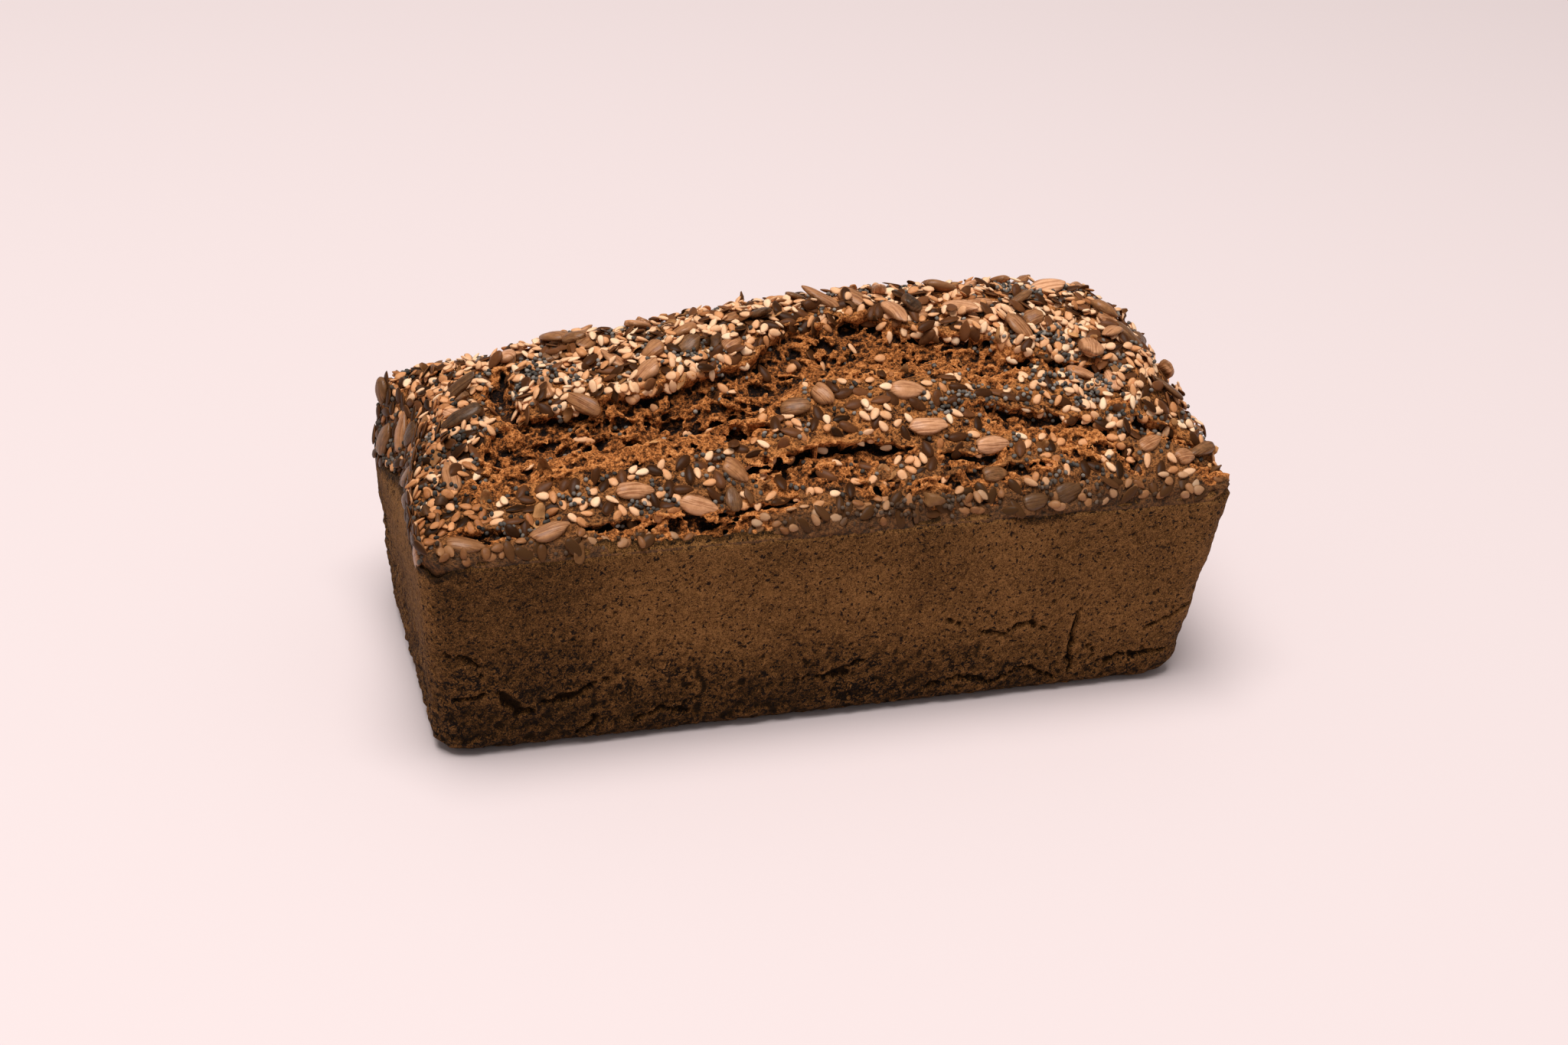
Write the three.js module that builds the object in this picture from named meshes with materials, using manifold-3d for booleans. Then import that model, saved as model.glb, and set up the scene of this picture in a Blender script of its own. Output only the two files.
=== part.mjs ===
// A seeded tin loaf: a rye and wholemeal loaf baked in an oblong tin, with a torn, seeded crown.
//
// Millimetres, +Z up. X runs along the loaf, +Y is its back, and the origin is the centre of its base.
// The loaf is one solid. Its flanks are the print of the tin, its crown is the risen top with a long
// tear and some narrow cracks, and the larger seeds of the topping are fused to the crown.

import * as THREE from 'three';
import { mergeVertices } from 'three/addons/utils/BufferGeometryUtils.js';
import Module from 'manifold-3d';

const wasm = await Module();
wasm.setup();

// ---- Driving dimensions -------------------------------------------------------------------------

const RIM_LENGTH = 200; // length at the rim of the tin
const RIM_WIDTH = 92; // width at the rim of the tin
const RIM_HEIGHT = 58; // depth of the tin
const END_TAPER = 4.6; // each end wall leans in by this much from rim to base
const SIDE_TAPER = 6.5; // each long wall leans in by this much from rim to base
const CORNER_RADIUS = 7; // upright corners of the tin
const FOOT_RADIUS = 5; // edge between the walls and the base

const CROWN_RISE = 33; // the ridge above the rim at its highest
const CROWN_PEAK_X = 40; // where along the loaf the ridge is highest
const CROWN_FALL = 0.0011; // how fast the ridge drops away from the peak, per millimetre squared
const RIDGE_Y = 13; // the ridge lies behind the middle
const CROWN_POWER = 2.1; // roundness of the crown's cross section
const LIP_RISE = 3; // the crust turns over the rim by this much at once
const LIP_SPAN = 0.06; // share of the half width in which it does so
const CRUST_SINK = 0.8; // the crust lies this far below the tips of its seeds

const RIGHT_SHOULDER = { from: 80, reach: 20, drop: 0.75, power: 2.2 };
const LEFT_SHOULDER = { from: -88, reach: 12, drop: 0.35, power: 1.5 };
const LEFT_SLUMP = { y: 16, spread: 27, depth: 8, low: 42, high: 66, from: -80 };

const SWELL = 0.8; // slow unevenness of the crown
const WALL_SWELL = 0.35; // slow unevenness of the walls
const CRUMB_SWELL = 1.2; // unevenness of the torn crumb

const GRID = { length: 32, width: 18, height: 6 }; // steps of the body's skin
const GRID_EASE = 0.22; // how much finer the skin's steps are near the rim
const LEVEL_POWER = 2.1; // and how much finer they are near the base
const BASE_OVERRUN = 2.5; // the body is shaped this far below its base, then trimmed flat

// ---- The long tear ------------------------------------------------------------------------------

// Stations along the tear: its back edge, its front edge and how deep the crumb lies between them.
const TEAR = [
  { x: -85, back: -14, front: -19, depth: 1 },
  { x: -75, back: -7, front: -27, depth: 3.6 },
  { x: -40, back: -7.5, front: -28, depth: 4.4 },
  { x: -16, back: -4.5, front: -23, depth: 4.6 },
  { x: 0, back: 6.5, front: -14, depth: 5.2 },
  { x: 20, back: 8, front: -15, depth: 5 },
  { x: 30, back: 1, front: -17, depth: 4.2 },
  { x: 46, back: -5, front: -18.5, depth: 3.4 },
  { x: 61, back: -13, front: -16, depth: 1 },
];
const TEAR_FRONT_SLOPE = 0.5; // share of the tear's width that its gentle front slope takes
const TEAR_UNDERCUT = 2.2; // the crust overhangs the back of the tear by this much
const TEAR_SKIM = 0.3; // the tear starts this far above the crust at its front edge
const TEAR_GRID = { length: 30, width: 5 }; // steps of the crumb's surface

// Narrow cracks, cut straight down: a route across the crown, the widest opening and the depth.
const CRACKS = [
  { route: [[-22, -33], [-6, -31.2], [7, -31.5], [19, -32.5]], width: 2.6, depth: 5 },
  { route: [[-62, -41], [-33, -43], [-12, -40]], width: 1.4, depth: 2.5 },
  { route: [[17, -41.2], [36, -39.4], [56, -38]], width: 1.6, depth: 2.5 },
  { route: [[37, -24], [50, -27.3], [62, -31], [71, -31]], width: 2, depth: 3.5 },
  { route: [[71, -32], [75, -37], [78, -41.5]], width: 1.8, depth: 3 },
  { route: [[79, -30], [91, -31]], width: 2.4, depth: 3.5 },
  { route: [[-93, -38], [-79, -40.4]], width: 1.4, depth: 2.5 },
  { route: [[-82, -21], [-63, -18.5], [-45, -20.5]], width: 3, depth: 8 },
  { route: [[-30, -21], [-24, -23.5], [-15, -24.5]], width: 4, depth: 8 },
  { route: [[-2, 4.5], [10, 7], [22, 5]], width: 3.2, depth: 9 },
  { route: [[-73, 17], [-75, 4], [-72, -8]], width: 5, depth: 4 },
];
const HEADROOM = 14; // what cuts the tear and the cracks reaches this far above the crust

// ---- The seeds ----------------------------------------------------------------------------------

const KERNEL = { length: 8.8, width: 4.9, thickness: 2.6, taper: 0.34, around: 6, along: 3 };
const FLAX = { length: 4.9, width: 2.6, thickness: 1.4, taper: 0.24, around: 6, along: 3 };
const SESAME = { length: 3.2, width: 2.1, thickness: 1.3, taper: 0.36, around: 5, along: 3 };

// Sunflower kernels that lie clear of the rest: place on the crown, turn in degrees, length, width.
const PLACED_KERNELS = [
  [-90.8, -20.5, 90, 11, 4.6],
  [-90.5, -42, -15, 9, 5],
  [-71, -41, 10, 9.5, 4.6],
  [-49.6, -34.2, 0, 9.5, 4.6],
  [-35.5, -39.5, -20, 9, 5],
  [-63.7, 1.5, 90, 10, 4],
  [-91, 11, 90, 11, 4],
  [-58, 17, 20, 9.5, 5],
  [-25, -33, -40, 7.5, 5.2],
  [-27, -38.8, 90, 6.5, 4],
  [-6.5, -19.8, -10, 7.5, 5.2],
  [0.6, -18.4, -60, 7, 5],
  [22, -19.2, -10, 9, 5.5],
  [25.3, -28.2, 0, 10, 4.8],
  [40.7, -32.8, 0, 10, 4.6],
  [-16.7, 4, 30, 6.5, 5],
  [-25, 14, 15, 8.5, 4.8],
  [-12.5, 14.5, 30, 9, 4.6],
  [-2, 15, 80, 8, 4.4],
  [34.5, 7, 10, 8, 5],
  [50, 7, 25, 9, 5.6],
  [45, -1, 0, 7, 4],
  [70, -17.3, -30, 8, 4.4],
  [77, -19.8, 85, 8, 4.2],
  [83, -35, 25, 8, 4.2],
  [90.5, -37, 15, 7.5, 4.6],
  [83.5, 1, 0, 7.5, 4.6],
  [58, -43.3, 20, 8, 5],
];
const SCATTER = {
  kernel: { count: 150, clear: 6.2, most: 62 },
  flax: { count: 420, clear: 4.2, most: 50 },
  sesame: { count: 640, clear: 3.6, most: 10 },
};
const RIM_CLEAR = 2.2; // scattered seeds keep this far inside the rim
const SEED_SINK = 0.12; // share of a seed's thickness that its middle stands above the crust

// ---- Small mathematics --------------------------------------------------------------------------

const clamp01 = (value) => Math.min(1, Math.max(0, value));
const lerp = (from, to, share) => from + (to - from) * share;
const fraction = (value) => value - Math.floor(value);

/** Smooth step from 0 at `from` to 1 at `to`. */
function ease(from, to, value) {
  const share = clamp01((value - from) / (to - from));
  return share * share * (3 - 2 * share);
}

/** Slow waves between -1 and 1 that never repeat over the loaf. */
function waves(x, y) {
  const long = Math.sin(0.11 * x + 0.05 * y + 1.3) + Math.sin(0.07 * x - 0.16 * y + 4.1);
  const short = Math.sin(0.23 * x + 0.19 * y + 2.2) + Math.sin(0.31 * y - 0.21 * x + 5.6);
  return (long + 0.7 * short) / 3.4;
}

/** Quicker waves, for the torn crumb. */
function crumbWaves(x, y) {
  return (Math.sin(0.62 * x + 0.9) * Math.sin(0.71 * y + 2.0) + Math.sin(0.47 * x - 0.66 * y + 3.7)) / 2;
}

/** The value of `key` at x along the stations of the tear. */
function alongTear(key, x) {
  const next = TEAR.findIndex((station) => station.x > x);
  const [before, after] = [TEAR[next - 1], TEAR[next]];
  return lerp(before[key], after[key], ease(before.x, after.x, x));
}

// ---- The shape of the crown ---------------------------------------------------------------------

/** Height of the ridge above the rim at x. */
function ridgeRise(x) {
  const right = clamp01((x - RIGHT_SHOULDER.from) / RIGHT_SHOULDER.reach) ** RIGHT_SHOULDER.power;
  const left = clamp01((LEFT_SHOULDER.from - x) / LEFT_SHOULDER.reach) ** LEFT_SHOULDER.power;
  const rise = CROWN_RISE - CROWN_FALL * (x - CROWN_PEAK_X) ** 2;
  return rise * (1 - RIGHT_SHOULDER.drop * right) * (1 - LEFT_SHOULDER.drop * left);
}

/** Height of the untorn crown over the base at (x, y). */
function crownHeight(x, y) {
  const halfWidth = RIM_WIDTH / 2;
  const reach = y < RIDGE_Y ? RIDGE_Y + halfWidth : halfWidth - RIDGE_Y;
  const share = clamp01(Math.abs(y - RIDGE_Y) / reach);
  const lip = LIP_RISE * Math.sqrt(clamp01((1 - share) / LIP_SPAN));
  const dome = (ridgeRise(x) - LIP_RISE) * (1 - share ** CROWN_POWER);
  return RIM_HEIGHT - CRUST_SINK + lip + dome;
}

/** Height of the crust with its unevenness at (x, y), as if nothing were torn. */
function crustHeight(x, y) {
  const inner = ease(0, 8, Math.min(RIM_LENGTH / 2 - Math.abs(x), RIM_WIDTH / 2 - Math.abs(y)));
  return crownHeight(x, y) + SWELL * inner * waves(x, y);
}

/** Whether (x, y) lies in the tear or closer to it than `margin`. */
function isTorn(x, y, margin) {
  if (x <= TEAR[0].x || x >= TEAR[TEAR.length - 1].x) {
    return false;
  }
  return y > alongTear('front', x) - margin && y < alongTear('back', x) + margin;
}

/** Moves a point of the skin inwards where the left end has slumped above the tin's print. */
function slump(point) {
  const across = Math.exp(-(((point.y - LEFT_SLUMP.y) / LEFT_SLUMP.spread) ** 2));
  const upward = ease(LEFT_SLUMP.low, LEFT_SLUMP.high, point.z);
  const outward = ease(-LEFT_SLUMP.from, RIM_LENGTH / 2, -point.x);
  point.x += LEFT_SLUMP.depth * across * upward * outward;
  return point;
}

// ---- The body -----------------------------------------------------------------------------------

/** Joins meshes of any kind into a solid that can be cut and fused. */
function toSolid(geometry) {
  geometry.deleteAttribute('normal');
  geometry.deleteAttribute('uv');
  const merged = mergeVertices(geometry, 1e-4);
  const mesh = new wasm.Mesh({
    numProp: 3,
    vertProperties: new Float32Array(merged.attributes.position.array),
    triVerts: new Uint32Array(merged.index.array),
  });
  return new wasm.Manifold(mesh);
}

/** Turns a solid back into a geometry with flat faces. */
function toGeometry(solid) {
  const mesh = solid.getMesh();
  const geometry = new THREE.BufferGeometry();
  geometry.setAttribute('position', new THREE.BufferAttribute(mesh.vertProperties, 3));
  geometry.setIndex(new THREE.BufferAttribute(mesh.triVerts, 1));
  geometry.computeVertexNormals();
  return geometry;
}

/** Spreads even steps from -1 to 1 so that they lie closer together near both ends. */
function eased(step) {
  return step * (1 + GRID_EASE - GRID_EASE * step * step);
}

/** Places (u, v), each from -1 to 1, on the tin's plan with rounded corners, drawn in by `inset`. */
function onPlan(u, v, insetX, insetY) {
  const x = u * RIM_LENGTH / 2;
  const y = v * RIM_WIDTH / 2;
  const beyondX = Math.max(0, Math.abs(x) - (RIM_LENGTH / 2 - CORNER_RADIUS));
  const beyondY = Math.max(0, Math.abs(y) - (RIM_WIDTH / 2 - CORNER_RADIUS));
  const far = Math.hypot(beyondX, beyondY);
  const round = far > 0 ? 1 - Math.max(beyondX, beyondY) / far : 0;
  const roundX = (Math.abs(x) - beyondX * round) * Math.sign(x);
  const roundY = (Math.abs(y) - beyondY * round) * Math.sign(y);
  return [roundX * (1 - 2 * insetX / RIM_LENGTH), roundY * (1 - 2 * insetY / RIM_WIDTH)];
}

/** How far the foot's rounding draws the wall in at height z. */
function footInset(z) {
  const below = clamp01((FOOT_RADIUS - z) / FOOT_RADIUS);
  return FOOT_RADIUS * (1 - Math.sqrt(1 - below * below));
}

/** The loaf without its seeds and cracks: a box whose skin is drawn out to the loaf's form. */
function makeBody() {
  const box = new THREE.BoxGeometry(2, 2, 2, GRID.length, GRID.width, GRID.height);
  const places = box.attributes.position;
  const point = new THREE.Vector3();
  for (let i = 0; i < places.count; i += 1) {
    point.fromBufferAttribute(places, i);
    const [u, v, level] = [eased(point.x), eased(point.y), (point.z + 1) / 2];
    const [rimX, rimY] = onPlan(u, v, 0, 0);
    const top = crustHeight(rimX, rimY);
    const z = lerp(-BASE_OVERRUN, top, level ** LEVEL_POWER);
    const lean = clamp01(1 - z / RIM_HEIGHT);
    const foot = footInset(Math.max(z, 0));
    const bulge = WALL_SWELL * waves(rimX + 1.7 * z, rimY + 40) * Math.sin(Math.PI * level);
    const [x, y] = onPlan(u, v, END_TAPER * lean + foot - bulge, SIDE_TAPER * lean + foot - bulge);
    point.set(x, y, z);
    slump(point);
    places.setXYZ(i, point.x, point.y, point.z);
  }
  const underside = new THREE.BoxGeometry(2 * RIM_LENGTH, 2 * RIM_WIDTH, 4 * BASE_OVERRUN);
  underside.translate(0, 0, -2 * BASE_OVERRUN);
  return toSolid(box).subtract(toSolid(underside));
}

/** The cutter for the tear: its underside is the crumb, and it undercuts the crust at the back. */
function makeTearCutter() {
  const box = new THREE.BoxGeometry(2, 2, 2, TEAR_GRID.length, TEAR_GRID.width, 1);
  const places = box.attributes.position;
  for (let i = 0; i < places.count; i += 1) {
    const [along, across] = [(places.getX(i) + 1) / 2, (places.getY(i) + 1) / 2];
    const x = lerp(TEAR[0].x, TEAR[TEAR.length - 1].x - 0.01, along);
    const y = lerp(alongTear('front', x), alongTear('back', x), across);
    if (places.getZ(i) > 0) {
      places.setXYZ(i, x, y, crownHeight(x, y) + HEADROOM);
    } else {
      const slope = ease(-0.1, TEAR_FRONT_SLOPE, across);
      const depth = slope * (alongTear('depth', x) + CRUMB_SWELL * crumbWaves(x, y));
      const undercut = TEAR_UNDERCUT * across ** 6 * Math.sin(Math.PI * along);
      places.setXYZ(i, x, y + undercut, crustHeight(x, y) + TEAR_SKIM * (1 - across) - depth);
    }
  }
  return toSolid(box);
}

// ---- Cracks -------------------------------------------------------------------------------------

/** A cutter for one crack: a slit that tapers to nothing at both ends, extruded upwards. */
function makeCrackCutter({ route, width, depth }) {
  const path = new THREE.CatmullRomCurve3(route.map(([x, y]) => new THREE.Vector3(x, y, 0)));
  const steps = 2 * route.length;
  const [leftSide, rightSide] = [[], []];
  let floor = Infinity;
  for (let i = 0; i <= steps; i += 1) {
    const share = i / steps;
    const place = path.getPointAt(share);
    const ahead = path.getTangentAt(share);
    const half = (width / 2) * Math.sin(Math.PI * lerp(0.04, 0.96, share)) ** 0.7;
    leftSide.push(new THREE.Vector2(place.x - ahead.y * half, place.y + ahead.x * half));
    rightSide.unshift(new THREE.Vector2(place.x + ahead.y * half, place.y - ahead.x * half));
    floor = Math.min(floor, crownHeight(place.x, place.y));
  }
  const shape = new THREE.Shape([...leftSide, ...rightSide]);
  const slit = new THREE.ExtrudeGeometry(shape, { depth: depth + HEADROOM, bevelEnabled: false });
  slit.translate(0, 0, floor - depth);
  return toSolid(slit);
}

/** Distance from (x, y) to the nearest crack's route, less half its width. */
function crackClearance(x, y) {
  let nearest = Infinity;
  for (const { route, width } of CRACKS) {
    for (let i = 1; i < route.length; i += 1) {
      const [ax, ay] = route[i - 1];
      const [bx, by] = route[i];
      const share = clamp01(((x - ax) * (bx - ax) + (y - ay) * (by - ay)) / ((bx - ax) ** 2 + (by - ay) ** 2));
      nearest = Math.min(nearest, Math.hypot(x - lerp(ax, bx, share), y - lerp(ay, by, share)) - width / 2);
    }
  }
  return nearest;
}

// ---- Seeds --------------------------------------------------------------------------------------

/** One seed along X: a few-sided egg that narrows towards +X and is flatter than wide. */
function makeSeedGeometry({ length, width, thickness, taper, around, along }) {
  const egg = new THREE.SphereGeometry(1, around, along);
  egg.rotateZ(-Math.PI / 2);
  const places = egg.attributes.position;
  for (let i = 0; i < places.count; i += 1) {
    const narrow = 1 - taper * places.getX(i);
    places.setY(i, places.getY(i) * narrow);
    places.setZ(i, places.getZ(i) * narrow);
  }
  return egg.scale(length / 2, width / 2, thickness / 2);
}

/** Lays a seed on the crown at (x, y), turned in the crust's plane. */
function laySeed(kind, { x, y, turn }) {
  const step = 1.5;
  const slopeX = (crustHeight(x + step, y) - crustHeight(x - step, y)) / (2 * step);
  const slopeY = (crustHeight(x, y + step) - crustHeight(x, y - step)) / (2 * step);
  const up = new THREE.Vector3(-slopeX, -slopeY, 1).normalize();
  const side = new THREE.Vector3(-Math.sin(turn), Math.cos(turn), 0);
  const ahead = new THREE.Vector3().crossVectors(side, up).normalize();
  side.crossVectors(up, ahead);
  const place = slump(new THREE.Vector3(x, y, crustHeight(x, y)));
  place.addScaledVector(up, SEED_SINK * kind.thickness);
  const pose = new THREE.Matrix4().makeBasis(ahead, side, up).setPosition(place);
  return toSolid(makeSeedGeometry(kind).applyMatrix4(pose));
}

/** Whether a seed of this reach may lie at (x, y): on crust, inside the rim and clear of the others. */
function isFree(x, y, reach, laid) {
  const insideRim = Math.abs(x) < RIM_LENGTH / 2 - RIM_CLEAR && Math.abs(y) < RIM_WIDTH / 2 - RIM_CLEAR;
  const corner = Math.hypot(
    Math.max(0, Math.abs(x) - RIM_LENGTH / 2 + CORNER_RADIUS + RIM_CLEAR),
    Math.max(0, Math.abs(y) - RIM_WIDTH / 2 + CORNER_RADIUS + RIM_CLEAR),
  );
  const onCrust = !isTorn(x, y, reach / 3) && crackClearance(x, y) > reach / 3;
  const clearOfSeeds = laid.every((seed) => Math.hypot(seed.x - x, seed.y - y) > (reach + seed.reach) / 2);
  return insideRim && corner < CORNER_RADIUS && onCrust && clearOfSeeds;
}

/** Evenly scattered places for one kind of seed, from a sequence that fills the plan without clumps. */
function scatter({ count, clear, most }, start, laid) {
  const found = [];
  for (let i = 1; i <= count && found.length < most; i += 1) {
    const x = (fraction(start + 0.7548776662466927 * i) - 0.5) * RIM_LENGTH;
    const y = (fraction(start + 0.5698402909980532 * i) - 0.5) * RIM_WIDTH;
    if (isFree(x, y, clear, [...laid, ...found])) {
      found.push({ x, y, turn: 2 * Math.PI * fraction(0.618033988749895 * i), reach: clear });
    }
  }
  return found;
}

/** All the seeds as solids, the largest kind first. */
function makeSeeds() {
  const degrees = Math.PI / 180;
  const kernels = PLACED_KERNELS.map(([x, y, turn, length, width]) => (
    { x, y, turn: turn * degrees, length, width, reach: SCATTER.kernel.clear }
  ));
  const moreKernels = scatter(SCATTER.kernel, 0.11, kernels);
  const laid = [...kernels, ...moreKernels];
  const flax = scatter(SCATTER.flax, 0.43, laid);
  const sesame = scatter(SCATTER.sesame, 0.77, [...laid, ...flax]);
  return [
    ...laid.map((seed) => laySeed({ ...KERNEL, length: seed.length ?? KERNEL.length,
      width: seed.width ?? KERNEL.width }, seed)),
    ...flax.map((seed) => laySeed(FLAX, seed)),
    ...sesame.map((seed) => laySeed(SESAME, seed)),
  ];
}

// ---- The loaf -----------------------------------------------------------------------------------

/** The body with its cracks cut and its seeds fused on, as one solid. */
function makeLoaf() {
  let solid = makeBody().subtract(makeTearCutter());
  for (const crack of CRACKS) {
    solid = solid.subtract(makeCrackCutter(crack));
  }
  for (const seed of makeSeeds()) {
    solid = solid.add(seed);
  }
  const pieces = solid.decompose();
  const whole = pieces.reduce((best, piece) => (piece.volume() > best.volume() ? piece : best));
  return toGeometry(whole);
}

const crust = new THREE.MeshStandardMaterial({ color: 0x6b4426, roughness: 0.9, metalness: 0 });
const loaf = new THREE.Mesh(makeLoaf(), crust);
loaf.name = 'loaf';
loaf.geometry.computeBoundingBox();
const middle = loaf.geometry.boundingBox.getCenter(new THREE.Vector3());
loaf.geometry.translate(-middle.x, -middle.y, 0);

const model = new THREE.Group();
model.add(loaf);

export default model;
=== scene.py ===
"""A seeded tin loaf: the print of the tin, the torn and seeded crown, and every seed on it.

Sizes are in millimetres unless a name says otherwise, and meshes are written in metres. X runs along
the loaf towards its higher end, +Y is its back, Z is up, and the origin is the centre of its base.
"""

import logging
import math
from dataclasses import dataclass, field
from enum import Enum
from typing import Any, Callable, Mapping, Sequence

import bpy
import numpy as np
from mathutils import Matrix, Vector


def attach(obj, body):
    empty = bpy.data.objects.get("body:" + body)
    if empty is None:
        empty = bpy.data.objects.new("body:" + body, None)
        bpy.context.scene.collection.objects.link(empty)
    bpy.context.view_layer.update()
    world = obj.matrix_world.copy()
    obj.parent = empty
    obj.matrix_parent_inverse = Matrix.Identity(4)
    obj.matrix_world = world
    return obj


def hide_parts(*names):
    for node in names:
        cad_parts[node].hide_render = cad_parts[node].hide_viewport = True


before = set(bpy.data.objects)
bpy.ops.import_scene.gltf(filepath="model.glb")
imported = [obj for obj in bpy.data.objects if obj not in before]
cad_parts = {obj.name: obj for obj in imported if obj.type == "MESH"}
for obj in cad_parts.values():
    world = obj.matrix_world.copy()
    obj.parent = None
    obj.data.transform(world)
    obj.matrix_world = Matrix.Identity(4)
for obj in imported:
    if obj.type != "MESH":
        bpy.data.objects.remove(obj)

Array = np.ndarray
Colour = tuple[float, float, float]

MM = 0.001  # metres in a millimetre
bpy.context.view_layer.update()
LOG = logging.getLogger("loaf")


# ---- Noise ---------------------------------------------------------------------------------------

def lattice_random(cells: Array, seed: int) -> Array:
    """Gives each whole-numbered lattice cell its own random number, by mixing its digits.

    Args:
        cells: whole numbers, the last axis holding x, y and z.
        seed: another whole number, for another set of random numbers.

    Returns:
        Numbers from 0 to 1, one for each cell.
    """
    mixed = (cells[..., 0] * 73856093) ^ (cells[..., 1] * 19349663) ^ (cells[..., 2] * 83492791)
    mixed = (mixed ^ (seed * 2654435761)) & 0xFFFFFFFF
    for shift, factor in ((16, 0x2C1B3C6D), (12, 0x297A2D39)):
        mixed = ((mixed ^ (mixed >> shift)) * factor) & 0xFFFFFFFF
    return (mixed ^ (mixed >> 15)) / 0xFFFFFFFF


def value_noise(points: Array, pitch: float, seed: int) -> Array:
    """Smooth noise: random numbers at the corners of a cubic lattice, blended across each cube.

    Args:
        points: places, the last axis holding x, y and z.
        pitch: size of a lattice cube.
        seed: which noise.

    Returns:
        Numbers from -1 to 1.
    """
    scaled = points / pitch
    low = np.floor(scaled).astype(np.int64)
    part = scaled - low
    part = part * part * (3.0 - 2.0 * part)
    total = np.zeros(points.shape[:-1])
    for corner in np.ndindex(2, 2, 2):
        weight = np.prod(np.where(np.array(corner) == 1, part, 1.0 - part), axis=-1)
        total += weight * lattice_random(low + np.array(corner), seed)
    return 2.0 * total - 1.0


def fractal(points: Array, pitch: float, octaves: int, seed: int) -> Array:
    """Noise at several pitches, each half as coarse and a little over half as strong as the last."""
    total = np.zeros(points.shape[:-1])
    for octave in range(octaves):
        total += 0.55 ** octave * value_noise(points, pitch * 0.5 ** octave, seed + octave)
    return total


def pits(points: Array, pitch: float, radii: tuple[float, float], share: float, seed: int) -> Array:
    """Round-bottomed pits: how deep a point lies in the nearest of many randomly placed bowls.

    Each cell of a cubic lattice holds one centre, moved about at random. A bowl's depth is
    sqrt(1 - (distance / radius)^2) inside its radius and nothing outside.

    Args:
        points: places, the last axis holding x, y and z.
        pitch: size of a lattice cube.
        radii: smallest and largest radius.
        share: share of the cells that hold a pit.
        seed: which set of pits.

    Returns:
        Numbers from 0, on the open surface, to 1, at the bottom of a pit.
    """
    low = np.floor(points / pitch).astype(np.int64)
    deepest = np.zeros(points.shape[:-1])
    for corner in np.ndindex(3, 3, 3):
        cell = low + np.array(corner) - 1
        place = np.stack([lattice_random(cell, seed + axis) for axis in range(3)], axis=-1)
        offset = points - (cell + 0.15 + 0.7 * place) * pitch
        chance = lattice_random(cell, seed + 3)
        radius = radii[0] + (radii[1] - radii[0]) * lattice_random(cell, seed + 4) ** 2
        inside = 1.0 - np.sum(offset ** 2, axis=-1) / radius ** 2
        depth = np.sqrt(np.clip(inside, 0.0, None)) * (chance < share)
        deepest = np.maximum(deepest, depth)
    return deepest


def ease(start: Any, stop: Any, value: Any) -> Array:
    """Smooth step from 0 at start to 1 at stop: 3t^2 - 2t^3 of the clipped share t."""
    share = np.clip((np.asarray(value) - start) / (np.asarray(stop) - start), 0.0, 1.0)
    return share * share * (3.0 - 2.0 * share)


def blur(values: Array, steps: int) -> Array:
    """Evens out a grid by averaging it over a square window, with its edges repeated.

    Args:
        values: numbers on a grid.
        steps: how far the window reaches each way.

    Returns:
        The averaged grid, of the same shape.
    """
    size = 2 * steps + 1
    for axis in (0, 1):
        edges = [(0, 0)] * values.ndim
        edges[axis] = (steps + 1, steps)
        sums = np.cumsum(np.pad(values, edges, mode="edge"), axis=axis)
        count = values.shape[axis]
        upper = np.take(sums, range(size, size + count), axis=axis)
        values = (upper - np.take(sums, range(count), axis=axis)) / size
    return values


# ---- Meshes --------------------------------------------------------------------------------------

def make_mesh(name: str, points: Array, faces: Sequence[Array], marks: Mapping[str, Array] | None = None,
              smooth: bool = True) -> bpy.types.Object:
    """Makes a mesh object at the origin from whole arrays.

    Args:
        name: the object's name.
        points: places in millimetres, one row each.
        faces: arrays of faces, each with one row of point numbers for each face.
        marks: named numbers for each point, kept as attributes of the mesh.
        smooth: whether the faces are shaded smoothly.

    Returns:
        The new object, linked to the scene.
    """
    mesh = bpy.data.meshes.new(name)
    corners = np.concatenate([np.ravel(part) for part in faces])
    counts = np.concatenate([np.full(len(part), part.shape[1]) for part in faces])
    starts = np.concatenate([[0], np.cumsum(counts)[:-1]])
    mesh.vertices.add(len(points))
    mesh.vertices.foreach_set("co", np.ravel(points * MM).astype(np.float32))
    mesh.loops.add(len(corners))
    mesh.loops.foreach_set("vertex_index", corners.astype(np.int32))
    mesh.polygons.add(len(counts))
    mesh.polygons.foreach_set("loop_start", starts.astype(np.int32))
    mesh.polygons.foreach_set("use_smooth", np.full(len(counts), smooth))
    for key, values in (marks or {}).items():
        mark = mesh.attributes.new(key, "FLOAT", "POINT")
        mark.data.foreach_set("value", np.ravel(values).astype(np.float32))
    mesh.update(calc_edges=True)
    mesh.validate()
    made = bpy.data.objects.new(name, mesh)
    bpy.context.scene.collection.objects.link(made)
    return made


def tube_faces(rows: int, columns: int, first: int = 0) -> Array:
    """Four-sided faces of a tube: rows of points, each row a closed ring of the same length."""
    row = np.arange(rows - 1)[:, None] * columns
    here = np.arange(columns)[None, :]
    ahead = (here + 1) % columns
    faces = np.stack([row + here, row + ahead, row + ahead + columns, row + here + columns], axis=-1)
    return faces.reshape(-1, 4) + first


# ---- The form of the loaf ------------------------------------------------------------------------

@dataclass(frozen=True)
class TearStation:
    """One station along the tear: its back edge, its front edge and its depth there."""

    x: float
    back: float
    front: float
    depth: float


@dataclass(frozen=True)
class Crack:
    """A narrow crack: its route, its widest opening, its depth and how much lower its front side lies."""

    route: tuple[tuple[float, float], ...]
    width: float
    depth: float
    step: float = 0.0


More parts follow.
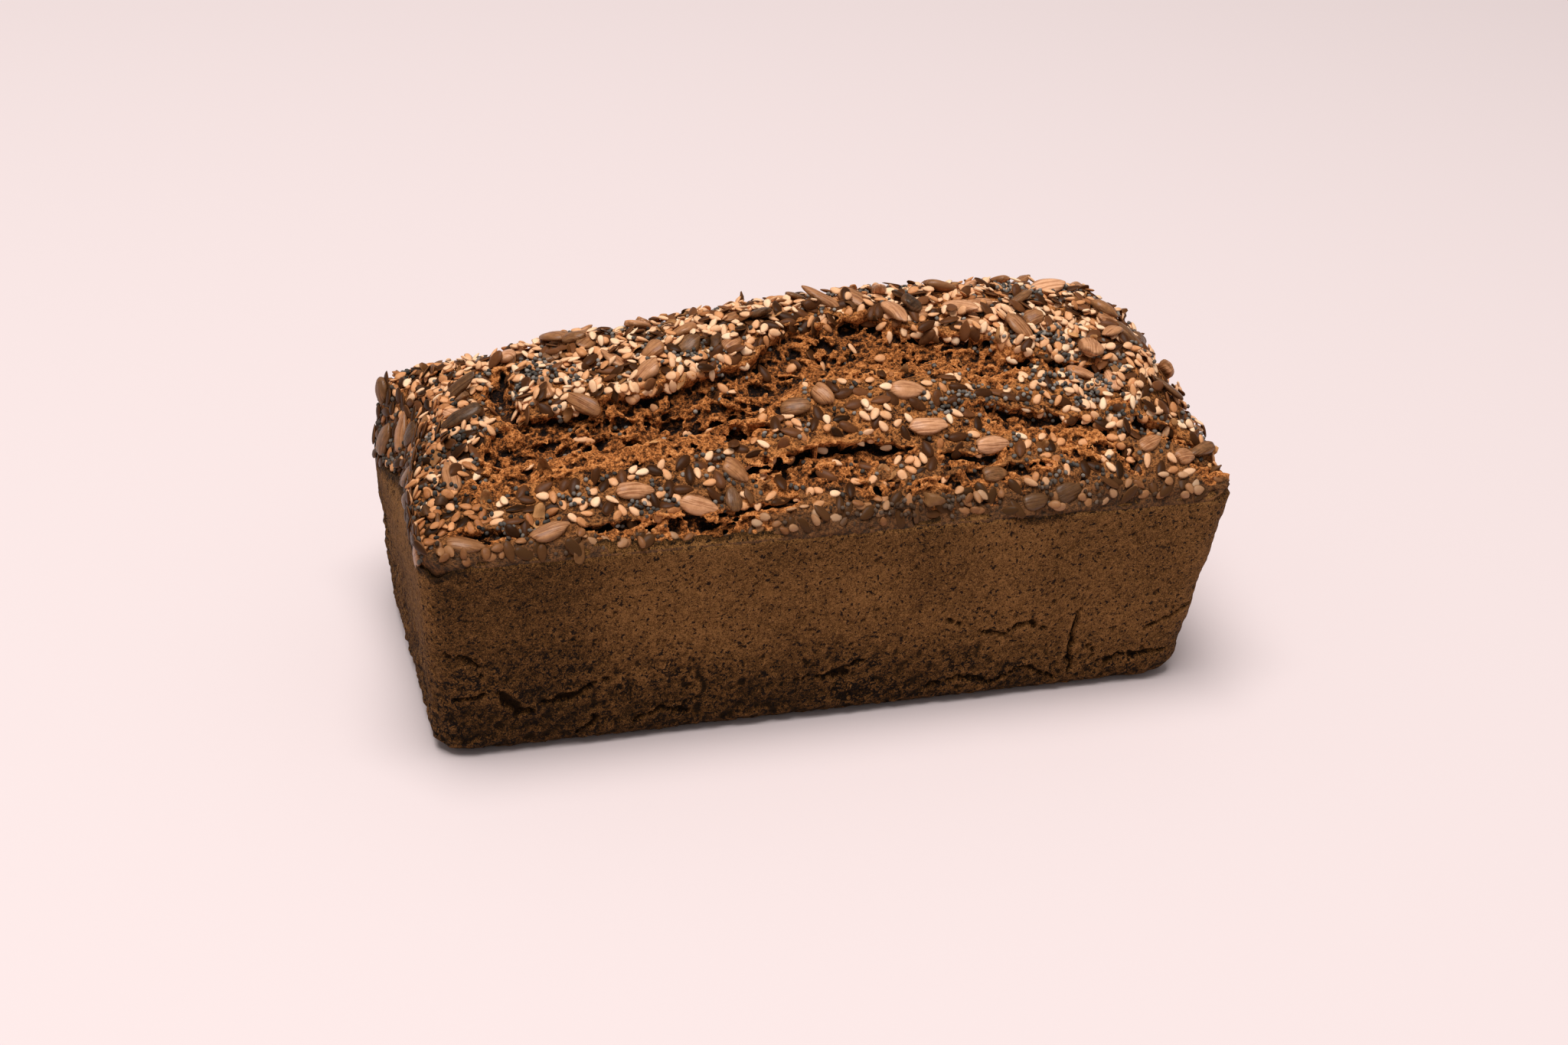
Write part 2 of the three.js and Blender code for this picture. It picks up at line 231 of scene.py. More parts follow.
@dataclass(frozen=True)
class LoafForm:
    """The driving sizes of the loaf and the smooth surfaces that follow from them."""

    rim_length: float = 200.0
    rim_width: float = 92.0
    rim_height: float = 58.0
    end_taper: float = 4.6
    side_taper: float = 6.5
    corner_radius: float = 7.0
    foot_radius: float = 5.0
    crown_rise: float = 33.0
    crown_peak_x: float = 40.0
    crown_fall: float = 0.0011
    ridge_y: float = 13.0
    crown_power: float = 2.1
    lip_rise: float = 3.0
    lip_span: float = 0.06
    crust_sink: float = 0.8
    swell: float = 0.8
    wall_swell: float = 0.35
    slump_y: float = 16.0
    slump_spread: float = 27.0
    slump_depth: float = 8.0
    slump_low: float = 42.0
    slump_high: float = 66.0
    slump_from: float = 80.0
    spread_left: float = 2.0
    spread_right: float = 4.0
    crown_settle: float = 0.7
    tear: tuple[TearStation, ...] = (
        TearStation(-85, -14, -19, 1.0),
        TearStation(-75, -7, -27, 3.6),
        TearStation(-40, -7.5, -28, 4.4),
        TearStation(-16, -4.5, -23, 4.6),
        TearStation(0, 6.5, -14, 5.2),
        TearStation(20, 8, -15, 5.0),
        TearStation(30, 1, -17, 4.2),
        TearStation(46, -5, -18.5, 3.4),
        TearStation(61, -13, -16, 1.0),
    )

    def waves(self, x: Array, y: Array) -> Array:
        """Slow waves between -1 and 1 that never repeat over the loaf."""
        long = np.sin(0.11 * x + 0.05 * y + 1.3) + np.sin(0.07 * x - 0.16 * y + 4.1)
        short = np.sin(0.23 * x + 0.19 * y + 2.2) + np.sin(0.31 * y - 0.21 * x + 5.6)
        return (long + 0.7 * short) / 3.4

    def ridge_rise(self, x: Array) -> Array:
        """Height of the ridge above the rim at x: a parabola, cut down at both shoulders."""
        right = np.clip((x - 80.0) / 20.0, 0.0, 1.0) ** 2.2
        left = np.clip((-88.0 - x) / 12.0, 0.0, 1.0) ** 1.5
        rise = self.crown_rise - self.crown_fall * (x - self.crown_peak_x) ** 2
        return rise * (1.0 - 0.75 * right) * (1.0 - 0.35 * left)

    def crown_height(self, x: Array, y: Array) -> Array:
        """Height of the untorn crown: a lip turned over the rim, and a dome with its ridge at the back."""
        half = self.rim_width / 2
        reach = np.where(y < self.ridge_y, self.ridge_y + half, half - self.ridge_y)
        share = np.clip(np.abs(y - self.ridge_y) / reach, 0.0, 1.0)
        lip = self.lip_rise * np.sqrt(np.clip((1.0 - share) / self.lip_span, 0.0, 1.0))
        dome = (self.ridge_rise(x) - self.lip_rise) * (1.0 - share ** self.crown_power)
        return self.rim_height - self.crust_sink + lip + dome

    def crust_height(self, x: Array, y: Array) -> Array:
        """Height of the crown with its slow unevenness, as if nothing were torn."""
        inner = np.minimum(self.rim_length / 2 - np.abs(x), self.rim_width / 2 - np.abs(y))
        return self.crown_height(x, y) + self.swell * ease(0.0, 8.0, inner) * self.waves(x, y)

    def along_tear(self, key: str, x: Array) -> Array:
        """One measure of the tear at x, eased from station to station."""
        places = np.array([station.x for station in self.tear])
        values = np.array([getattr(station, key) for station in self.tear])
        after = np.clip(np.searchsorted(places, x, side="right"), 1, len(places) - 1)
        share = ease(places[after - 1], places[after], x)
        return values[after - 1] * (1.0 - share) + values[after] * share

    def tear_share(self, x: Array, y: Array) -> Array:
        """Where (x, y) lies across the tear: 0 at its front edge, 1 at its back edge, and so on outside."""
        front, back = self.along_tear("front", x), self.along_tear("back", x)
        ends = (x > self.tear[0].x) & (x < self.tear[-1].x)
        return np.where(ends, (y - front) / (back - front), -9.0)

    def slumped(self, points: Array) -> Array:
        """Moves points inwards where the left end has slumped above the tin's print."""
        across = np.exp(-(((points[..., 1] - self.slump_y) / self.slump_spread) ** 2))
        upward = ease(self.slump_low, self.slump_high, points[..., 2])
        outward = ease(self.slump_from, self.rim_length / 2, -points[..., 0])
        moved = points.copy()
        moved[..., 0] += self.slump_depth * across * upward * outward
        return moved

    def settled(self, points: Array) -> Array:
        """The two ends as they came out of the oven: both have spread, the right one more than the left."""
        moved = points.copy()
        x = points[..., 0]
        right, left = ease(84.0, 101.0, x), ease(84.0, 101.0, -x)
        moved[..., 0] = x + self.spread_right * right - self.spread_left * left
        return moved

    def on_plan(self, u: Array, v: Array) -> tuple[Array, Array]:
        """Places (u, v), each from -1 to 1, on the tin's plan: a rectangle whose corners are rounded."""
        x, y = u * self.rim_length / 2, v * self.rim_width / 2
        beyond_x = np.maximum(0.0, np.abs(x) - (self.rim_length / 2 - self.corner_radius))
        beyond_y = np.maximum(0.0, np.abs(y) - (self.rim_width / 2 - self.corner_radius))
        far = np.maximum(np.hypot(beyond_x, beyond_y), 1e-9)
        tuck = np.where(far > 1e-8, 1.0 - np.maximum(beyond_x, beyond_y) / far, 0.0)
        return (np.abs(x) - beyond_x * tuck) * np.sign(x), (np.abs(y) - beyond_y * tuck) * np.sign(y)


# The cracks of the crown, each by its route in x and y, width, depth and step.
CRACKS = (
    Crack(((-22, -33), (-6, -31.2), (7, -31.5), (19, -32.5)), 3.2, 5.5, 3.0),
    Crack(((-62, -41), (-33, -43), (-12, -40)), 1.8, 3.0, 1.2),
    Crack(((17, -41.2), (36, -39.4), (56, -38)), 2.0, 3.0, 1.4),
    Crack(((37, -24), (50, -27.3), (62, -31), (71, -31)), 2.4, 4.0, 1.8),
    Crack(((71, -32), (75, -37), (78, -41.5)), 2.0, 3.5, 0.6),
    Crack(((79, -30), (91, -31)), 2.6, 4.0, 1.2),
    Crack(((-93, -38), (-79, -40.4)), 1.8, 3.0, 0.8),
    Crack(((-82, -21), (-63, -18.5), (-45, -20.5)), 3.0, 4.0),
    Crack(((-30, -21), (-24, -23.5), (-15, -24.5)), 4.4, 5.0),
    Crack(((4, -38.2), (7, -40), (15, -39.6)), 1.4, 2.5, 0.6),
    Crack(((26, -34.5), (38, -35.8), (46, -33.6)), 1.6, 2.5, 0.8),
    Crack(((53, -12), (63, -15.5), (76, -16)), 1.6, 3.0, 0.8),
    Crack(((-73, 17), (-75, 4), (-72, -8)), 5.0, 4.5),
)


def route_distance(x: Array, y: Array, route: Sequence[tuple[float, float]]) -> tuple[Array, Array, Array]:
    """Distance from each (x, y) to a route of straight stretches.

    Args:
        x: places along the loaf.
        y: places across the loaf.
        route: the corners of the route.

    Returns:
        The distance, how far along the route its nearest point lies, from 0 to 1, and whether the place
        lies on the route's right hand.
    """
    nearest = np.full(np.shape(x), np.inf)
    along = np.zeros(np.shape(x))
    right = np.zeros(np.shape(x), bool)
    stretches = len(route) - 1
    for number in range(stretches):
        (ax, ay), (bx, by) = route[number], route[number + 1]
        length = (bx - ax) ** 2 + (by - ay) ** 2
        share = np.clip(((x - ax) * (bx - ax) + (y - ay) * (by - ay)) / length, 0.0, 1.0)
        distance = np.hypot(x - ax - share * (bx - ax), y - ay - share * (by - ay))
        closer = distance < nearest
        nearest = np.where(closer, distance, nearest)
        along = np.where(closer, (number + share) / stretches, along)
        right = np.where(closer, (bx - ax) * (y - ay) < (by - ay) * (x - ax), right)
    return nearest, along, right


# ---- Finishes ------------------------------------------------------------------------------------

class Value:
    """A number or socket in a node tree that Python's operators turn into Math nodes."""

    def __init__(self, shader: "Shader", source: Any) -> None:
        """Keeps the tree and the socket or number."""
        self.shader = shader
        self.source = source

    def _math(self, operation: str, *operands: Any) -> "Value":
        """A Math node of that operation on the operands."""
        inputs = dict(zip(("Value", "Value_001", "Value_002"), operands))
        node = self.shader.add("ShaderNodeMath", {"operation": operation}, inputs)
        return Value(self.shader, node.outputs[0])

    def __add__(self, other: Any) -> "Value":
        """Sum."""
        return self._math("ADD", self, other)

    def __radd__(self, other: Any) -> "Value":
        """Sum with the number first."""
        return self._math("ADD", other, self)

    def __sub__(self, other: Any) -> "Value":
        """Difference."""
        return self._math("SUBTRACT", self, other)

    def __rsub__(self, other: Any) -> "Value":
        """Difference with the number first."""
        return self._math("SUBTRACT", other, self)

    def __mul__(self, other: Any) -> "Value":
        """Product."""
        return self._math("MULTIPLY", self, other)

    def __rmul__(self, other: Any) -> "Value":
        """Product with the number first."""
        return self._math("MULTIPLY", other, self)

    def __pow__(self, other: Any) -> "Value":
        """Power."""
        return self._math("POWER", self, other)

    def ramp(self, low: float, high: float) -> "Value":
        """Smooth step of the value from 0 at low to 1 at high."""
        settings = {"interpolation_type": "SMOOTHSTEP"}
        node = self.shader.add("ShaderNodeMapRange", settings,
                               {"Value": self, "From Min": low, "From Max": high})
        return Value(self.shader, node.outputs[0])


class Shader:
    """One material's node tree, and the one method that adds nodes to it."""

    def __init__(self, name: str) -> None:
        """Starts an empty tree with an output."""
        self.material = bpy.data.materials.new(name)
        self.material.use_nodes = True
        self.tree = self.material.node_tree
        self.tree.nodes.clear()
        self.output = self.tree.nodes.new("ShaderNodeOutputMaterial")

    def add(self, kind: str, settings: Mapping[str, Any] | None = None,
            inputs: Mapping[str, Any] | None = None) -> Any:
        """Adds a node.

        Args:
            kind: Blender's name for the node's type.
            settings: the node's own properties, and a ramp's stops under "stops".
            inputs: values, sockets or Values for its inputs, by identifier.

        Returns:
            The node.
        """
        node = self.tree.nodes.new(kind)
        for key, setting in (settings or {}).items():
            if key == "stops":
                self._set_stops(node.color_ramp, setting)
            else:
                setattr(node, key, setting)
        for key, given in (inputs or {}).items():
            socket = next(item for item in node.inputs if item.identifier == key)
            source = given.source if isinstance(given, Value) else given
            if isinstance(source, bpy.types.NodeSocket):
                self.tree.links.new(source, socket)
            elif socket.type == "RGBA":
                socket.default_value = (*source, 1.0)
            else:
                socket.default_value = source
        return node

    @staticmethod
    def _set_stops(ramp: Any, stops: Sequence[tuple[float, Colour]]) -> None:
        """Gives a colour ramp its stops, at least two, from low to high."""
        while len(ramp.elements) < len(stops):
            ramp.elements.new(0.5)
        for element, (place, colour) in zip(ramp.elements, stops):
            element.position = place
            element.color = (*colour, 1.0)

    def mark(self, name: str) -> Value:
        """A named number that the mesh carries at each point."""
        node = self.add("ShaderNodeAttribute", {"attribute_name": name})
        return Value(self, node.outputs["Fac"])

    def noise(self, size: float, detail: float = 3.0, vector: Any = None, roughness: float = 0.6) -> Value:
        """Cloudy noise from 0 to 1 whose patches are about size millimetres across."""
        inputs = {"Vector": vector or self.place(), "Scale": 1.0 / (size * MM), "Detail": detail,
                  "Roughness": roughness}
        return Value(self, self.add("ShaderNodeTexNoise", {}, inputs).outputs["Fac"])

    def place(self) -> Any:
        """The piece's own coordinates, in metres."""
        return self.add("ShaderNodeTexCoord").outputs["Object"]

    def colours(self, value: Value, stops: Sequence[tuple[float, Colour]]) -> Any:
        """A colour for each value, from a ramp."""
        return self.add("ShaderNodeValToRGB", {"stops": stops}, {"Fac": value}).outputs["Color"]

    def mix(self, share: Any, first: Any, second: Any, blend: str = "MIX") -> Any:
        """Two colours mixed by a share from 0 to 1."""
        settings = {"data_type": "RGBA", "blend_type": blend, "clamp_factor": True}
        node = self.add("ShaderNodeMix", settings,
                        {"Factor_Float": share, "A_Color": first, "B_Color": second})
        return next(item for item in node.outputs if item.identifier == "Result_Color")

    def bump(self, height: Value, depth: float, strength: float = 1.0, normal: Any = None) -> Any:
        """Relief of that depth in millimetres where height goes from 0 to 1."""
        inputs = {"Height": height, "Distance": depth * MM, "Strength": strength}
        if normal is not None:
            inputs["Normal"] = normal
        return self.add("ShaderNodeBump", {}, inputs).outputs["Normal"]

    def finish(self, **inputs: Any) -> bpy.types.Material:
        """Ends the tree with a Principled shader, whose inputs are named with _ for each space."""
        named = {key.replace("_", " "): given for key, given in inputs.items()}
        shader = self.add("ShaderNodeBsdfPrincipled", {}, named)
        self.tree.links.new(shader.outputs[0], self.output.inputs["Surface"])
        return self.material


@dataclass(frozen=True)
class TinCrust:
    """The matt brown crust that the tin printed: fine grained, full of tiny pores, darker near the base."""

    dark: Colour = (0.023, 0.010, 0.002)
    umber: Colour = (0.090, 0.037, 0.008)
    brown: Colour = (0.189, 0.081, 0.022)
    pale: Colour = (0.385, 0.176, 0.055)
    # pore: near black, the shade inside pores and seams painted into the colour
    pore: Colour = (0.012, 0.005, 0.002)

    def build(self) -> bpy.types.Material:
        """Builds the material."""
        shader = Shader("tin_crust")
        grain = shader.noise(0.28, 2.0, roughness=0.7)
        clump = shader.noise(0.75, 2.0, roughness=0.7)
        crumble = shader.noise(3.2, 2.0, roughness=0.6)
        holes = shader.noise(1.0, 2.0, roughness=0.6)
        seams = shader.noise(6.5, 3.0, roughness=0.65)
        where = shader.noise(15.0, 2.0)
        cloud = shader.noise(26.0, 3.0)
        painted_crest_light, low, painted_shade = (shader.mark(key) for key in ("painted_crest_light", "low", "painted_shade"))
        # Pores and thin seams are painted near black: painted shade inside them.
        pore = 1.0 - (holes - low * 0.05).ramp(0.355, 0.395)
        seam = (1.0 - ((seams - 0.5) ** 2.0).ramp(0.0, 0.0004)) * low.ramp(0.1, 0.6) * where.ramp(0.45, 0.6)
        pore = pore + seam * 1.1
        # Besides random grain, clumps and clouds, the tone carries painted light on crests, painted shade in
        # hollows, painted shade at the upper edge and high on the front, and painted light on the left end.
        tone = (grain - 0.5) * 2.0 + (clump - 0.5) * 1.15 + (crumble - 0.5) * 0.25 + (cloud - 0.5) * 0.6
        tone = tone + (painted_crest_light - 0.5) * 0.45 + 0.585 - low * 0.32 - painted_shade * 0.5
        tone = tone - (1.0 - painted_crest_light.ramp(0.0, 0.34)) * 0.42
        colour = shader.colours(tone, ((0.0, self.dark), (0.30, self.umber), (0.56, self.brown),
                                       (0.95, self.pale)))
        colour = shader.mix((pore * 0.88).ramp(0.0, 1.0), colour, self.pore)
        height = grain * 0.8 + clump * 0.8 + crumble * 0.3 - pore * 1.0
        normal = shader.bump(height, 0.75, 1.0)
        return shader.finish(Base_Color=colour, Roughness=0.88, Normal=normal, Specular_IOR_Level=0.12)


@dataclass(frozen=True)
class CrownBread:
    """The crown between the seeds: browned crust, and orange-brown crumb where it is torn."""

    # The crumb's ramp runs from painted shade in hollows to painted highlights on crests, with random tone
    # mixed in.
    hollow: Colour = (0.007, 0.002, 0.001)
    shade: Colour = (0.050, 0.015, 0.002)
    crumb: Colour = (0.270, 0.084, 0.018)
    bright: Colour = (0.640, 0.212, 0.050)
    tip: Colour = (0.950, 0.400, 0.130)
    crust_dark: Colour = (0.016, 0.005, 0.002)
    crust: Colour = (0.290, 0.100, 0.023)
    crust_pale: Colour = (0.680, 0.255, 0.070)
    # Darker crust towards the front: partly glaze, partly painted shade on the lip.
    glaze_and_shade: Colour = (0.058, 0.030, 0.014)

    def build(self) -> bpy.types.Material:
        """Builds the material."""
        shader = Shader("crown_bread")
        sponge = shader.noise(0.75, 3.0, roughness=0.75)
        grit = shader.noise(1.5, 3.0, roughness=0.7)
        cloud = shader.noise(9.0, 3.0)
        painted_crest_light, painted_hollow_shade, torn, rim = (shader.mark(key) for key in ("painted_crest_light", "painted_hollow_shade", "torn", "rim"))
        # Painted light on crests, painted shade in hollows and deep in the tear, with random sponge and cloud
        # tone.
        relief = (painted_crest_light - 0.5) * 0.85 - painted_hollow_shade * 0.95 + (sponge - 0.5) * 2.1 + (cloud - 0.5) * 1.0
        relief = relief - shader.mark("deep") * 0.13
        crumb = shader.colours(relief + 0.60, ((0.0, self.hollow), (0.24, self.shade), (0.48, self.crumb),
                                               (0.72, self.bright), (1.0, self.tip)))
        crust = shader.colours(relief + (grit - 0.5) * 1.4 + 0.54,
                               ((0.10, self.crust_dark), (0.48, self.crust), (0.92, self.crust_pale)))
        # Glaze darkens the front of the crust, with painted shade on the lip.
        crust = shader.mix(rim * 0.75, crust, self.glaze_and_shade)
        colour = shader.mix(torn.ramp(0.15, 0.75), crust, crumb)
        normal = shader.bump(sponge * 1.2 + grit, 0.7, 1.0)
        return shader.finish(Base_Color=colour, Roughness=0.74, Normal=normal, Specular_IOR_Level=0.18)


@dataclass(frozen=True)
class SeedCoat:
    """The coat of one kind of seed: a range of colours from seed to seed, streaks along it and its gloss."""

    name: str
    stops: tuple[tuple[float, Colour], ...]
    streak: float = 0.0
    streak_count: float = 9.0
    rim: Colour | None = None
    roughness: float = 0.45
    coat: float = 0.0
    relief: float = 0.1
    gloss: float = 0.18

    def build(self) -> bpy.types.Material:
        """Builds the material. The streaks run along the seed, by its own marks along and around it."""
        shader = Shader(self.name)
        tint, along, around = (shader.mark(key) for key in ("tint", "along", "around"))
        mottle = shader.noise(1.6, 4.0, roughness=0.7)
        colour = shader.colours(tint + mottle * 0.55 - 0.275, self.stops)
        normal = shader.bump(mottle, self.relief, 0.6)
        if self.streak > 0.0:
            route = shader.add("ShaderNodeCombineXYZ", {}, {"X": around * self.streak_count, "Y": along * 1.3,
                                                            "Z": tint * 40.0}).outputs[0]
            streaks = Value(shader, shader.add("ShaderNodeTexNoise", {}, {
                "Vector": route, "Scale": 1.0, "Detail": 2.0}).outputs["Fac"])
            lines = streaks.ramp(0.32, 0.56)
            colour = shader.mix((1.0 - lines) * self.streak, colour, (0.42, 0.26, 0.14), "MULTIPLY")
            normal = shader.bump(lines, self.relief, 0.5, normal)
        if self.rim is not None:
            # Edge colour: painted shade on kernels, painted highlight on flax, darker edges on sesame.
            colour = shader.mix(shader.mark("edge").ramp(0.72, 1.0) * 0.55, colour, self.rim)
        # Seeds sunk in the glaze at the front lip, and those on the left end, darkened as painted shade.
        colour = shader.mix(shader.mark("film_and_shade") * 0.6, colour, (0.090, 0.040, 0.014))
        return shader.finish(Base_Color=colour, Roughness=self.roughness, Normal=normal,
                             Coat_Weight=self.coat, Coat_Roughness=0.25, Specular_IOR_Level=self.gloss)


class Seed(Enum):
    """The kinds of seed in the topping."""

    KERNEL = "sunflower_kernels"
    FLAX = "flax_seeds"
    SESAME = "sesame_seeds"
    POPPY = "poppy_seeds"
    BRAN = "bran_flakes"


# A coat's rim colour is painted at the seed's edges: painted shade on kernels, a painted highlight on flax.
SEED_COATS = {
    Seed.KERNEL: SeedCoat("sunflower_kernel", (
        (0.0, (0.055, 0.026, 0.011)), (0.25, (0.190, 0.085, 0.031)), (0.5, (0.420, 0.180, 0.068)),
        (0.75, (0.640, 0.305, 0.145)), (1.0, (0.860, 0.450, 0.245))), streak=0.7, streak_count=6.5,
        rim=(0.190, 0.078, 0.028), roughness=0.42, coat=0.2, relief=0.2),
    Seed.FLAX: SeedCoat("flax_seed", (
        (0.0, (0.022, 0.008, 0.002)), (0.6, (0.068, 0.023, 0.007)), (1.0, (0.180, 0.064, 0.022))),
        rim=(0.32, 0.125, 0.044), roughness=0.36, gloss=0.08, relief=0.04),
    Seed.SESAME: SeedCoat("sesame_seed", (
        (0.0, (0.360, 0.125, 0.036)), (0.35, (0.730, 0.325, 0.130)), (0.8, (0.970, 0.590, 0.340)),
        (1.0, (1.000, 0.700, 0.445))),
        rim=(0.50, 0.210, 0.065), roughness=0.55, coat=0.04, relief=0.06),
    Seed.POPPY: SeedCoat("poppy_seed", (
        (0.0, (0.028, 0.023, 0.019)), (0.5, (0.100, 0.086, 0.073)), (1.0, (0.330, 0.280, 0.235))),
        roughness=0.65, gloss=0.08, relief=0.08),
    Seed.BRAN: SeedCoat("bran_flake", (
        (0.0, (0.030, 0.012, 0.004)), (0.5, (0.200, 0.075, 0.020)), (1.0, (0.680, 0.330, 0.125))),
        roughness=0.5, relief=0.10),
}


# ---- The walls -----------------------------------------------------------------------------------

@dataclass
class TinWalls:
    """The walls and the base: the print of the tin, up to the ragged edge of its smooth crust."""

    form: LoafForm
    columns: int = 1000
    foot_rows: int = 9
    wall_rows: int = 72
    lip_rows: int = 4
    base_rows: int = 8
    turn_height: float = 57.0
    tucked_height: float = 36.0
    back_edge: float = 59.2
    grain_depth: float = 0.16
    low_grain_depth: float = 0.45
    pore_depth: float = 0.35
    pit_depth: float = 0.5
    split_depth: float = 0.8
    fissure_depth: float = 1.5
    # Painted shade high on the left of the front wall, and painted light on the left end.
    front_shade: float = 0.45
    left_painted_light: float = 0.16
    front_edge: tuple[tuple[float, float], ...] = (
        (-99.5, 56.6), (-98, 53.8), (-94.7, 56.3), (-90, 57.8), (-82.5, 60.2), (-75, 60.6), (-67, 61.1),
        (-59, 60.3), (-50.6, 59.2), (-43, 59.1), (-33.6, 59), (-18.7, 59.3), (-2, 59.6), (3.6, 59.7),
        (4.6, 61.6), (6.2, 61.9), (7.2, 60.2), (9, 59.1), (13, 58.2), (22.8, 59), (33.9, 59.7), (41.8, 57.9),
        (49.6, 57), (56, 57.4), (62, 58.4), (68.8, 60.5), (75, 62.4), (86, 61.7), (96.7, 61.6), (100, 62.6),
    )
    left_edge: tuple[tuple[float, float], ...] = (
        (-44, 56.2), (-39, 55.8), (-32.6, 56.5), (-25.3, 57.2), (-8.8, 55), (9.8, 51), (23, 47), (34, 43),
        (38.5, 42.5), (40.5, 48), (42, 56.5), (46, 58.5),
    )
    fissures: tuple[Crack, ...] = (
        Crack(((-92, 19), (-82, 20), (-78, 13), (-74, 12)), 1.6, 1.3),
        Crack(((-73, 14), (-66, 17), (-57, 20)), 1.3, 1.1),
        Crack(((-60, 11), (-59, 8), (-62, 4)), 1.2, 1.0),
        Crack(((66, 27), (66.5, 17), (67, 6)), 1.5, 1.4),
        Crack(((70, 15), (74, 9), (82, 9), (86, 11), (92, 11)), 1.4, 1.2),
        Crack(((-8, 13), (0, 13), (4, 16), (10, 17)), 1.2, 1.0),
        Crack(((86, 19), (98, 24)), 1.2, 0.9),
        Crack(((28, 7), (36, 9), (45, 6), (55, 8), (64, 5)), 1.2, 1.0),
        Crack(((40, 24), (46, 21), (52, 24), (60, 22)), 1.3, 1.0),
        Crack(((-50, 7), (-44, 10), (-36, 8)), 1.2, 0.9),
        Crack(((-95, 33), (-90, 30), (-87, 26)), 1.1, 0.8),
        Crack(((30, 28), (34, 25)), 2.2, 1.0),
    )

    def outline(self, inset_x: Array, inset_y: Array, share: Array) -> tuple[Array, Array, Array, Array]:
        """Points round a rounded rectangle, evenly spaced by length, with their outward normals.

        Args:
            inset_x: how far the ends are drawn in, for each row.
            inset_y: how far the long sides are drawn in, for each row.
            share: place round the outline, from 0 to 1, starting at the middle of the front.

        Returns:
            x, y and the outward normal's x and y.
        """
        radius = self.form.corner_radius
        flat_x = self.form.rim_length / 2 - radius
        flat_y = self.form.rim_width / 2 - radius
        arc = radius * math.pi / 2
        stops = np.cumsum([0, flat_x, arc, 2 * flat_y, arc, 2 * flat_x, arc, 2 * flat_y, arc, flat_x])
        go = share * stops[-1]
        leg = np.clip(np.searchsorted(stops, go, side="right") - 1, 0, 8)
        part = go - stops[leg]
        turn = np.choose(leg, [0.0, part / radius, math.pi / 2, math.pi / 2 + part / radius, math.pi,
                               math.pi + part / radius, 1.5 * math.pi, 1.5 * math.pi + part / radius, 0.0])
        centre_x = np.choose(leg, [part, flat_x, flat_x, flat_x, flat_x - part, -flat_x, -flat_x, -flat_x,
                                   part - flat_x])
        centre_y = np.choose(leg, [-flat_y, -flat_y, part - flat_y, flat_y, flat_y, flat_y, flat_y - part,
                                   -flat_y, -flat_y])
        normal_x, normal_y = np.sin(turn), -np.cos(turn)
        x = (centre_x + radius * normal_x) * (1.0 - 2.0 * inset_x / self.form.rim_length)
        y = (centre_y + radius * normal_y) * (1.0 - 2.0 * inset_y / self.form.rim_width)
        return x, y, normal_x, normal_y

    def crust_top(self, x: Array, y: Array) -> Array:
        """How high the smooth crust reaches, measured up the wall and then over the lip.

        It is read from stations along the front and along the left end, level elsewhere, and ragged.
        """
        place = np.stack([x, y, np.zeros_like(x)], axis=-1)
        front = np.interp(x, *zip(*self.front_edge))
        left = np.interp(y, *zip(*self.left_edge))
        on_left = ease(92.0, 97.0, -x) * ease(-45.6, -42.0, y)
        on_back = ease(-43.0, -38.0, y) * (1.0 - on_left)
        back = self.back_edge + 0.8 * value_noise(place, 11.0, 33)
        top = front * (1.0 - on_left - on_back) + left * on_left + back * on_back
        return top + 0.5 * value_noise(place, 3.4, 31) + 0.45 * value_noise(place, 1.5, 32)

    def relief(self, points: Array, low: Array) -> Array:
        """How far the crust stands out or in: grain, pores, and fissures in the lower part.

        Args:
            points: places on the smooth wall.
            low: 1 near the base and 0 above.

        Returns:
            Outward moves, mostly inward ones.
        """
        grain = self.grain_depth * fractal(points, 1.6, 2, 41)
        grain = grain + self.low_grain_depth * low * fractal(points, 2.2, 2, 43)
        pores = self.pore_depth * pits(points, 2.3, (0.4, 0.8), 0.35, 47)
        ragged = points + 0.9 * fractal(points, 2.4, 1, 58)[..., None]
        coarse = self.pit_depth * pits(ragged, 4.2, (0.6, 1.5), 0.35, 52) * low
        splits = np.clip(1.0 - np.abs(value_noise(points * (0.5, 0.5, 1.0), 7.0, 61)) / 0.07, 0.0, 1.0)
        splits = self.split_depth * splits * low * ease(-0.1, 0.5, value_noise(points, 17.0, 64))
        height = grain - pores - coarse - splits
        wander = 1.4 * value_noise(points, 4.5, 66) + 0.7 * value_noise(points, 1.7, 67)
        drift = 1.6 * value_noise(points, 4.5, 76) + 0.7 * value_noise(points, 1.7, 77)
        for crack in self.fissures:
            distance, along, _ = route_distance(points[..., 0] + wander, points[..., 2] + drift, crack.route)
            widest = crack.width / 2.1 * (0.45 + 0.8 * np.sin(np.pi * along))
            half = widest * (1.0 + 0.9 * value_noise(points, 2.0, 68))
            groove = np.clip(1.0 - (distance / np.maximum(half, 0.05)) ** 2, 0.0, 1.0)
            height = height - self.fissure_depth * crack.depth * groove * (points[..., 1] < 0)
        return height

